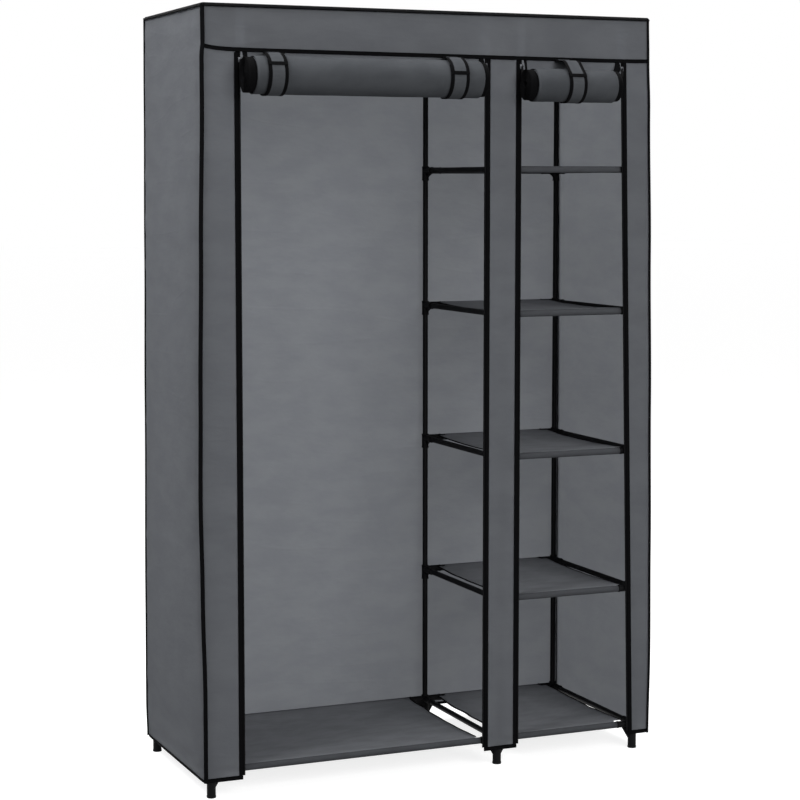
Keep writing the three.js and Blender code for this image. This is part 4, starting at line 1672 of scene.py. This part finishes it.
@dataclass
class Zip:
    """One side of a doorway's zip: tape, coil, slider and pull.

    Modelled from the top of the tape on its outer edge, with the tape running down and the
    doorway on the side that way gives.
    """

    name: str
    top_x: float
    bottom_x: float
    way: int
    plane: float
    top_z: float
    bottom_z: float
    tape_width: float = 12.0
    tape_thickness: float = 0.9
    tape_edges: tuple[float, float] = (0.2, 11.6)
    bead_half_width: float = 1.2
    bead_reach: float = 1.4
    coil_wire: float = 0.45
    coil_doublings: int = 10
    cord: float = 1.3
    cord_off_bead: float = 1.4
    cord_y: float = -0.9
    slider_drop: float = 20.0
    slider_height: float = 11.0
    slider_plate: float = 1.4
    slider_play: float = 0.4
    slider_lap: float = 5.0
    bar_standoff: float = 2.4
    bar_radius: float = 0.8
    bar_half: float = 2.4
    post_half: float = 0.6
    post_height: float = 1.2
    post_reach: float = 3.4
    eye_radius: float = 1.55
    tab_thickness: float = 1.2
    grip_half: tuple[float, float] = (2.0, 0.85)
    grip_ends: tuple[float, float] = (-15.8, -9.0)

    def frame(self) -> Matrix:
        """The zip's own frame in the wardrobe's."""
        lean = Matrix.Rotation(
            -math.atan2(self.bottom_x - self.top_x, self.top_z - self.bottom_z), 4, "Y",
        )
        return Matrix.Translation((self.top_x, self.plane, self.top_z)) @ lean

    def length(self) -> float:
        """The tape's length."""
        return math.hypot(self.bottom_x - self.top_x, self.top_z - self.bottom_z)

    def bead(self) -> float:
        """The place across of the coil's middle."""
        return self.way * (self.tape_width - self.bead_half_width)

    def build(self) -> None:
        """Builds the tape with its coil, the slider and the pull."""
        length = self.length()
        edges = sorted(self.way * edge for edge in self.tape_edges)

        def place(across: float, up: float) -> Vector:
            """A point of the tape, by share across and up."""
            z = -length * (1 - up)
            lift = 0.25 * noise.noise(Vector((z / 60, self.top_x, 0)))
            return Vector((mixed(*edges, across), lift, z))

        tape = warped_grid(4, 200, place, (self.tape_width, length))
        cord_x = self.bead() - self.way * self.cord_off_bead
        cord = Band(self.cord, self.cord, sides=6, squareness=1.0).straight(
            Vector((cord_x, self.cord_y, -length)), Vector((cord_x, self.cord_y, 0)), ALONG_X,
            steps=40,
        )
        coil = gathered([self.coil(), cord])
        for mesh in (tape, coil):
            mesh.transform(self.frame())
        Piece(
            f"{self.name}_tape_cloth", ZIP_TAPE, Slot.TAPE, (f"{self.name}_zip_tape",),
            thickness=self.tape_thickness,
        ).make(tape)
        Piece(f"{self.name}_coil", NYLON_COIL, Slot.TAPE).make(coil)
        at = self.frame() @ Matrix.Translation((self.bead(), 0, -self.slider_drop))
        outer = self.bead_reach + self.slider_play + self.slider_plate
        bar_y = -(outer + self.bar_standoff)
        self.slider(at, outer, bar_y)
        self.pull(at, bar_y)

    def coil(self) -> Mesh:
        """The coil's loops, each a bent length of wire that reaches towards the doorway.

        Returns:
            The closed loops, in the zip's frame.
        """
        length = self.length()
        pitch = length / 2**self.coil_doublings
        wire = self.coil_wire
        bead = self.bead()

        def place(around: float, along: float) -> Vector:
            """A point of one loop, by share round the wire and along it."""
            turn = math.pi * (along - 0.5)
            middle = Vector((
                bead - self.way * 0.6 + self.way * 1.5 * math.cos(turn),
                (self.bead_reach - wire) * math.sin(turn),
                -length + pitch * (0.3 + 0.4 * along),
            ))
            out = Vector((self.way * math.cos(turn), math.sin(turn), 0))
            roll = FULL_TURN * around
            return middle + out * (wire * math.cos(roll)) + UPWARDS * (wire * math.sin(roll))

        mesh = closed_round(warped_grid(5, 4, place, (3.0, 5.0)))
        for k in range(self.coil_doublings):
            made = bmesh.ops.duplicate(mesh, geom=mesh.verts[:] + mesh.edges[:] + mesh.faces[:])
            copies = [item for item in made["geom"] if isinstance(item, bmesh.types.BMVert)]
            bmesh.ops.translate(mesh, verts=copies, vec=(0, 0, pitch * 2**k))
        return mesh

    def slider(self, at: Matrix, outer: float, bar_y: float) -> None:
        """The cast slider, which holds the bead between its plates and carries the pull's bar.

        Args:
            at: the slider's frame.
            outer: how far its plates reach from the bead's middle.
            bar_y: the bar's depth.
        """
        inner = outer - self.slider_plate
        bridge = self.way * (self.bead_half_width + self.slider_play)
        far = bridge + self.way * self.slider_plate
        half = self.slider_height / 2
        x0, x1 = sorted((-self.way * self.slider_lap, far))
        b0, b1 = sorted((bridge, far))
        parts = [
            rounded_block((x0, -outer, -half), (x1, -inner, half), 0.5),
            rounded_block((x0, inner, -half), (x1, outer, half), 0.5),
            rounded_block((b0, -outer, -half), (b1, outer, half), 0.4),
            bar(self.bar_radius, (-self.bar_half, bar_y, 0), (self.bar_half, bar_y, 0)),
        ]
        wide, tall, front = self.post_half, self.post_height, -outer - self.post_reach
        for x in (-self.bar_half, self.bar_half):
            parts.append(rounded_block((x - wide, front, -tall), (x + wide, -inner, tall), 0.3))
        body = gathered(parts)
        body.transform(at)
        Piece(
            f"{self.name}_slider_casting", PLATED_ZINC, Slot.ZIP_METAL,
            (f"{self.name}_zip_slider",), Ride(f"{self.name}_slider"),
        ).make(body)

    def pull(self, at: Matrix, bar_y: float) -> None:
        """The moulded pull: an eye round the bar, a tapered tab and a raised grip.

        Args:
            at: the slider's frame.
            bar_y: the bar's depth.
        """
        outward = [
            Vector((0, math.cos(FULL_TURN * share), math.sin(FULL_TURN * share)))
            for share in shares(16)
        ]
        eye = [Vector((0, bar_y, 0)) + way * self.eye_radius for way in outward]
        ring = Band(1.0, 2.8, sides=8, squareness=0.8).along(eye, outward)
        outline = [
            (-1.5, -1.4), (1.5, -1.4), (1.5, -3.6), (2.9, -5.0), (3.0, -16.6), (2.2, -17.8),
            (-2.2, -17.8), (-3.0, -16.6), (-2.9, -5.0), (-1.5, -3.6),
        ]
        tab = flat_web(outline, self.tab_thickness, 0.3)
        tab.transform(Matrix.Translation((0, bar_y, 0)))
        wide, deep = self.grip_half
        low, high = self.grip_ends
        grip = rounded_block((-wide, bar_y - deep, low), (wide, bar_y + deep, high), 0.3)
        pull = gathered([ring, tab, grip])
        pull.transform(at)
        Piece(
            f"{self.name}_pull_tab", MOULDED_BLACK, Slot.PULL, (f"{self.name}_zip_pull",),
            Ride(f"{self.name}_pull"),
        ).make(pull)


@dataclass
class RolledDoor:
    """A door rolled up on itself below the header, with the curtain that it hangs from.

    Each strap is given by its middle across, and by where its flap ends, in degrees round the
    roll from its back over its top. Leads are given by depth and height.
    """

    cover: Cover
    side: str
    start_x: float
    end_x: float
    curtain_end_x: float
    axis_z: float
    turn_radius: float
    straps: tuple[tuple[float, float], ...]
    lean: float = 0.0
    loose_lead: tuple[tuple[float, float], ...] = ()
    core: float = 8.0
    outer_lap: float = 8.3
    inner_lap: float = 8.3
    outer_overhang: float = 19.0
    inner_overhang: float = 13.5
    pressed_in: float = 0.68
    tape_inset: float = 3.4
    roll_tape: float = 1.0
    curtain_tape: float = 0.9
    curtain_tape_lap: float = 4.0
    panel_top: float = 1748.7
    header_bottom: float = 1652.7
    tape_above: float = 6.0
    strap_width: float = 45.0
    strap_off_roll: float = 1.4
    flap_off_roll: float = 3.2
    strap_end: float = 140.0
    end_bar_inset: float = 3.4
    flap_lead: tuple[tuple[float, float], ...] = (
        (-224.3, 1651.7), (-225.4, 1648.4), (-228.6, 1645.8), (-236.0, 1645.0), (-246.0, 1644.8),
        (-256.0, 1644.4),
    )
    strap_tape: Band = field(default_factory=lambda: Band(8.6, 1.6, sides=8, squareness=0.4))

    def axis_y(self) -> float:
        """The depth of the roll's axis."""
        return self.cover.front_plane - self.turn_radius

    def length(self) -> float:
        """The length of cloth in the roll: from its axis down to the hem."""
        return self.axis_z - self.cover.hem

    def turns(self) -> float:
        """How many turns that length makes between the roll's outside and its core."""
        pitch = math.pi * (self.turn_radius**2 - self.core**2) / self.length()
        return (self.turn_radius - self.core) / pitch

    def wound(self, x0: float, x1: float, radius: float, columns: int, loose: float,
              back: float = 1.0) -> Mesh:
        """Cloth wound in from the back of the roll, under it and up its front.

        Args:
            x0: where the roll starts across.
            x1: where it ends.
            radius: the outermost turn's radius.
            columns: faces across.
            loose: how uneven the turns lie.
            back: how much of its roundness the side towards the wardrobe keeps.

        Returns:
            The open mesh.
        """
        turns = self.turns()
        fray = 1.6 if columns > 8 else 0.8

        def place(across: float, up: float) -> Vector:
            """A point of the wound cloth, by share across and along it."""
            x = mixed(x0, x1, across)
            angle = -up * turns * FULL_TURN
            reach = mixed(radius, self.core, up)
            flutter = noise.noise(Vector((x / 85, 1.7 * math.cos(angle), 1.7 * math.sin(angle))))
            edge = noise.noise(Vector((up * turns * 5.0, x0, 4.0)))
            reach += loose * (flutter * min(1.0, 3 * (1 - up)) - 0.4)
            shift = fray * edge * (2 * across - 1)
            depth = reach * math.cos(angle)
            depth *= back if depth > 0 else 1.0
            return Vector((x + shift, self.axis_y() + depth, self.axis_z + reach * math.sin(angle)))

        return warped_grid(columns, round(turns * 30), place, (x1 - x0, self.length()))

    def build(self) -> None:
        """Builds the roll, its wound zip tapes, the curtain and the straps."""
        self.roll()
        self.curtain()
        for number, (x, flap_end) in enumerate(self.straps, start=1):
            self.strap(number, x, flap_end)

    def roll(self) -> None:
        """The rolled cloth, with the zip tapes that are wound up at its ends."""
        rides = Ride(f"{self.side}_door")
        ends = [
            Piece(
                f"{self.side}_roll_tape_{name}", ZIP_TAPE, Slot.COVER, motion=rides,
                thickness=self.roll_tape,
            ).make(self.wound(x0, x1, self.turn_radius - self.tape_inset, 4, 0.3, back))
            for name, x0, x1, back in (
                ("outer", self.start_x - self.outer_overhang, self.start_x - 1, self.pressed_in),
                ("inner", self.end_x - 1, self.end_x + self.inner_overhang, 1.0),
            )
        ]
        width = self.end_x - self.start_x
        # The roll's cloth is painted a dark grey, as painted shade from the header above it.
        roll = Piece(
            f"{self.side}_roll_cloth", ROLLED_CLOTH_PAINTED_SHADE, Slot.COVER, (f"{self.side}_door_roll",), rides,
            thickness=self.cover.cloth,
        ).make(self.wound(self.start_x, self.end_x, self.turn_radius, round(width / 8), 0.8))
        declare_sheet(
            roll, width, self.length(), Held.FOLDED, f"{self.side}_curtain_cloth", ends,
        )

    def stretch(self) -> Stretch:
        """How the curtain follows its door down."""
        top, plane = self.header_bottom + self.tape_above, self.cover.front_plane
        return Stretch(
            f"{self.side}_door", Vector((0, plane, top)), Vector((0, plane, self.axis_z)),
        )

    def inner_edge(self, z: float) -> float:
        """Where the curtain's inner edge is at a height, which lies further out above the roll.

        Args:
            z: the height.

        Returns:
            The edge's place across.
        """
        share = (z - self.axis_z) / (self.header_bottom - self.axis_z)
        at_roll = self.end_x + self.inner_overhang - 1.0
        return mixed(at_roll, self.curtain_end_x, eased(1.15 * share))

    def curtain(self) -> None:
        """The door's cloth between the roof seam and the roll, with its zip tapes at the sides."""
        low = self.axis_z + 0.3
        plane = self.cover.front_plane
        folds = Folds(27.0, broad=1.0, broad_size=120, small=0.7, small_size=34)

        def place(across: float, up: float) -> Vector:
            """A point of the curtain, by share across and up."""
            z = mixed(low, self.panel_top, up)
            x = mixed(self.start_x, self.inner_edge(z), across)
            free = eased((self.header_bottom - z) / 12) * math.sin(math.pi * across) ** 0.4
            return Vector((x, plane - max(folds.depth(x, z), -0.5) * free, z))

        tapes = []
        for name, edge, way, lap in (
            ("outer", lambda z: self.start_x, -1, self.outer_lap),
            ("inner", self.inner_edge, 1, self.inner_lap),
        ):
            def tape(across: float, up: float, edge: Line = edge, way: int = way,
                     lap: float = lap) -> Vector:
                """A point of a zip tape that bunches up beside the curtain, by share."""
                z = mixed(low, self.header_bottom + self.tape_above, up)
                bulge = math.sin(math.pi * min(up * 1.2, 1.0)) ** 1.5
                inner = edge(z) - way * self.curtain_tape_lap
                outer = edge(z) + way * (lap - 1.0 + bulge)
                y = plane - 1.0 - bulge * (4.0 + 10.0 * across)
                return Vector((mixed(inner, outer, across), y, z))

            tapes.append(Piece(
                f"{self.side}_curtain_tape_{name}", ZIP_TAPE, Slot.COVER, motion=self.stretch(),
                thickness=self.curtain_tape,
            ).make(warped_grid(4, 20, tape, (8.0, 60.0))))
        width, length = self.curtain_end_x - self.start_x, self.panel_top - low
        cloth = Piece(
            f"{self.side}_curtain_cloth", COVER_CLOTH, Slot.COVER, (f"{self.side}_door_curtain",),
            self.stretch(), thickness=self.cover.cloth,
        ).make(warped_grid(round(width / 10), 24, place, (width, length)))
        declare_sheet(cloth, width, length, Held.HUNG, "roof_cloth", tapes)

    def about_axis(self, radius: float, degrees: float) -> tuple[float, float]:
        """A point round the roll's axis, by degrees from its back over its top."""
        turn = math.radians(degrees)
        return (self.axis_y() + radius * math.cos(turn), self.axis_z + radius * math.sin(turn))

    def strap(self, number: int, x: float, flap_end: float) -> None:
        """One strap: its long half under the roll, and its flap from the header over the front.

        Args:
            number: the strap's number on this door.
            x: its middle across.
            flap_end: where the flap ends, in degrees round the roll from its back over its top.
        """
        name, node = f"{self.side}_strap_{number}", f"{self.side}_roll_strap_{number}"
        radius = self.turn_radius + self.strap_off_roll
        back = self.axis_y() + radius
        long_path = [(x, back, mixed(self.panel_top, self.axis_z, s)) for s in shares(10)[:-1]]
        long_path += [
            (x, *self.about_axis(radius, mixed(0, self.strap_end - 360, s))) for s in shares(44)
        ]
        away = FoldAway(f"{self.side}_door_travel", Vector((x, back, self.axis_z)))
        self.strip(f"{name}_long_cloth", f"{node}_long", long_path, away)
        radius = self.turn_radius + self.flap_off_roll
        lead = [*self.flap_lead, *self.loose_lead]
        dy, dz = lead[-1][0] - self.axis_y(), lead[-1][1] - self.axis_z
        touch = math.degrees(math.atan2(dz, dy) + math.acos(min(1.0, radius / math.hypot(dy, dz))))
        over = [self.about_axis(radius, mixed(touch, flap_end, s)) for s in shares(20)]
        run = len(lead) + 4
        flap_path = [
            (x + self.lean * (1 - eased(i / run)), *place) for i, place in enumerate([*lead, *over])
        ]
        rides = Ride(f"{self.side}_roll_flap_{number}")
        self.strip(f"{name}_flap_cloth", f"{node}_flap", flap_path, rides, end_bar=True)

    def strip(self, name: str, node: str, path: Sequence[Point], motion: Motion,
              end_bar: bool = False) -> None:
        """A bound strip of cloth along a path.

        Args:
            name: the piece's name.
            node: the node that it stands for.
            path: the points that its middle passes.
            motion: what it moves with.
            end_bar: whether its last end is bound across.
        """
        points = [Vector(point) for point in path]
        last = len(points) - 1
        half = self.strap_width / 2
        length = path_length(points)

        def place(across: float, up: float) -> Vector:
            """A point of the strip, by share across and along it."""
            return points[round(up * last)] + ALONG_X * mixed(1 - half, half - 1, across)

        edge = ALONG_X * (half - self.strap_tape.width / 2)
        tapes = [
            self.strap_tape.laid([point + edge * way for point in points], ALONG_X)
            for way in (-1, 1)
        ]
        if end_bar:
            down = (points[-1] - points[-3]).normalized()
            middle = points[-1] - down * self.end_bar_inset
            reach = ALONG_X * (half - 1)
            tapes.append(self.strap_tape.straight(middle - reach, middle + reach, down))
        mesh = warped_grid(6, last, place, (self.strap_width, length))
        tape = Piece(f"{name}_binding", BINDING, Slot.STRAP, motion=motion).make(gathered(tapes))
        # The strap cloth is painted as dark as the roll, as painted shade under the header.
        cloth = Piece(name, STRAP_CLOTH_PAINTED_SHADE, Slot.STRAP, (node,), motion, self.cover.cloth).make(mesh)
        declare_sheet(cloth, self.strap_width, length, Held.HUNG, "header_cloth", [tape])


@dataclass(frozen=True)
class Lamp:
    """A soft square lamp, by how brightly it lights white paper at what it is aimed at."""

    name: str
    place: Vector
    level: float
    side: float
    aim: Vector = Vector((0.0, 0.0, 0.9))

    def build(self) -> None:
        """Hangs the lamp."""
        data = bpy.data.lights.new(self.name, "AREA")
        data.shape = "SQUARE"
        data.size = self.side
        towards = self.aim - self.place
        data.energy = self.level * math.pi**2 * towards.length_squared
        lamp = bpy.data.objects.new(self.name, data)
        lamp.location = self.place
        lamp.rotation_euler = towards.to_track_quat("-Z", "Y").to_euler()
        bpy.context.scene.collection.objects.link(lamp)


@dataclass
class Studio:
    """The camera of the photograph, the lamps, the world and the white floor, in metres."""

    focal: float = 2094.9  # in pixels of the photograph
    centre_row: float = 384.0  # where the camera's axis meets the photograph, from its top
    eye: Vector = Vector((-1.9425, -4.53335, 1.3594))
    yaw: float = 23.145
    pitch: float = -5.419
    sensor: float = 36.0
    far: float = 200.0
    floor_size: float = 80.0
    ambient: float = 0.26
    lamps: tuple[Lamp, ...] = (
        Lamp("soft light from the left", Vector((-2.2, -0.45, 3.5)), 1.62, 1.8,
             Vector((0, 0, 1.95))),
        Lamp("soft light from the front", Vector((0.6, -4.8, 3.2)), 0.76, 3.0,
             Vector((0, 0, 1.2))),
        Lamp("soft light from behind", Vector((0.0, 2.1, 3.7)), 0.82, 2.0,
             Vector((0, 0, 2.0))),
        Lamp("soft light from the right", Vector((2.1, 0.35, 3.5)), 1.45, 1.7,
             Vector((0.4, 0, 1.95))),
        Lamp("soft light from above", Vector((0.0, 0.2, 4.8)), 0.35, 2.6),
    )

    def build(self) -> None:
        """Sets up the whole studio."""
        self.camera()
        self.world()
        for lamp in self.lamps:
            lamp.build()
        self.floor()

    def floor(self) -> None:
        """Lays the white paper that the wardrobe stands on."""
        size = self.floor_size
        mesh = warped_grid(
            1, 1, lambda u, v: Vector((size * (u - 0.5), size * (v - 0.5), 0)), (1.0, 1.0),
        )
        data = bpy.data.meshes.new("floor")
        mesh.to_mesh(data)
        mesh.free()
        data.materials.append(StudioPaper("white studio paper").material())
        thing = bpy.data.objects.new("floor", data)
        bpy.context.scene.collection.objects.link(thing)
        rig.stage(thing)

    def camera(self) -> None:
        """Stands the camera where the photograph was taken from."""
        data = bpy.data.cameras.new("camera")
        data.sensor_width = self.sensor
        data.lens = self.focal * self.sensor / PHOTO_SIDE
        data.shift_y = (self.centre_row - PHOTO_SIDE / 2) / PHOTO_SIDE
        data.clip_end = self.far
        thing = bpy.data.objects.new("camera", data)
        thing.location = self.eye
        thing.rotation_euler = (math.radians(90 + self.pitch), 0.0, math.radians(-self.yaw))
        bpy.context.scene.collection.objects.link(thing)
        bpy.context.scene.camera = thing

    def world(self) -> None:
        """White for the rays that look at it, and an even soft light for the rest."""
        world = bpy.data.worlds.new("studio")
        world.use_nodes = True
        tree = world.node_tree
        tree.nodes.clear()
        rays = add_node(tree, "ShaderNodeLightPath", {})
        seen = add_node(
            tree, "ShaderNodeMath",
            {0: rays.outputs["Is Camera Ray"], 1: rays.outputs["Is Glossy Ray"]},
            operation="MAXIMUM",
        )
        any_seen = add_node(
            tree, "ShaderNodeMath", {0: seen, 1: rays.outputs["Is Transmission Ray"]},
            operation="MAXIMUM",
        )
        light = add_node(tree, "ShaderNodeBackground", {0: WHITE, 1: self.ambient})
        white = add_node(tree, "ShaderNodeBackground", {0: WHITE, 1: 1.0})
        both = add_node(tree, "ShaderNodeMixShader", {0: any_seen, 1: light, 2: white})
        add_node(tree, "ShaderNodeOutputWorld", {"Surface": both})
        bpy.context.scene.world = world


def record_sizes(path: Path) -> None:
    """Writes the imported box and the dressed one, so that the two can be compared."""
    boxes = {
        "cad": [list(corner) for corner in cad_box],
        "visual": [list(corner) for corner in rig.bounds()],
    }
    path.write_text(json.dumps(boxes))


def main() -> None:
    """Builds the wardrobe and its studio."""
    logging.basicConfig(level=logging.INFO, format="%(name)s %(message)s")
    bpy.context.scene.view_settings.view_transform = "Standard"
    Studio().build()
    tubes = TubeFrame()
    tubes.build()
    ClothShelves(tubes).build()
    cover = Cover(tubes)
    cover.build()
    RolledDoor(
        cover, "left", -448.0, 88.0, 115.0, 1596.6, 43.2, ((-402.0, 154.0), (26.0, 170.0)),
        lean=18.0,
    ).build()
    RolledDoor(
        cover, "right", 228.0, 432.0, 467.0, 1587.6, 39.0, ((327.0, 154.0),),
        loose_lead=((-264.0, 1642.6), (-270.0, 1639.0)), outer_lap=4.6,
    ).build()
    record_sizes(Path("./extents.json"))


if __name__ == "__main__":
    main()
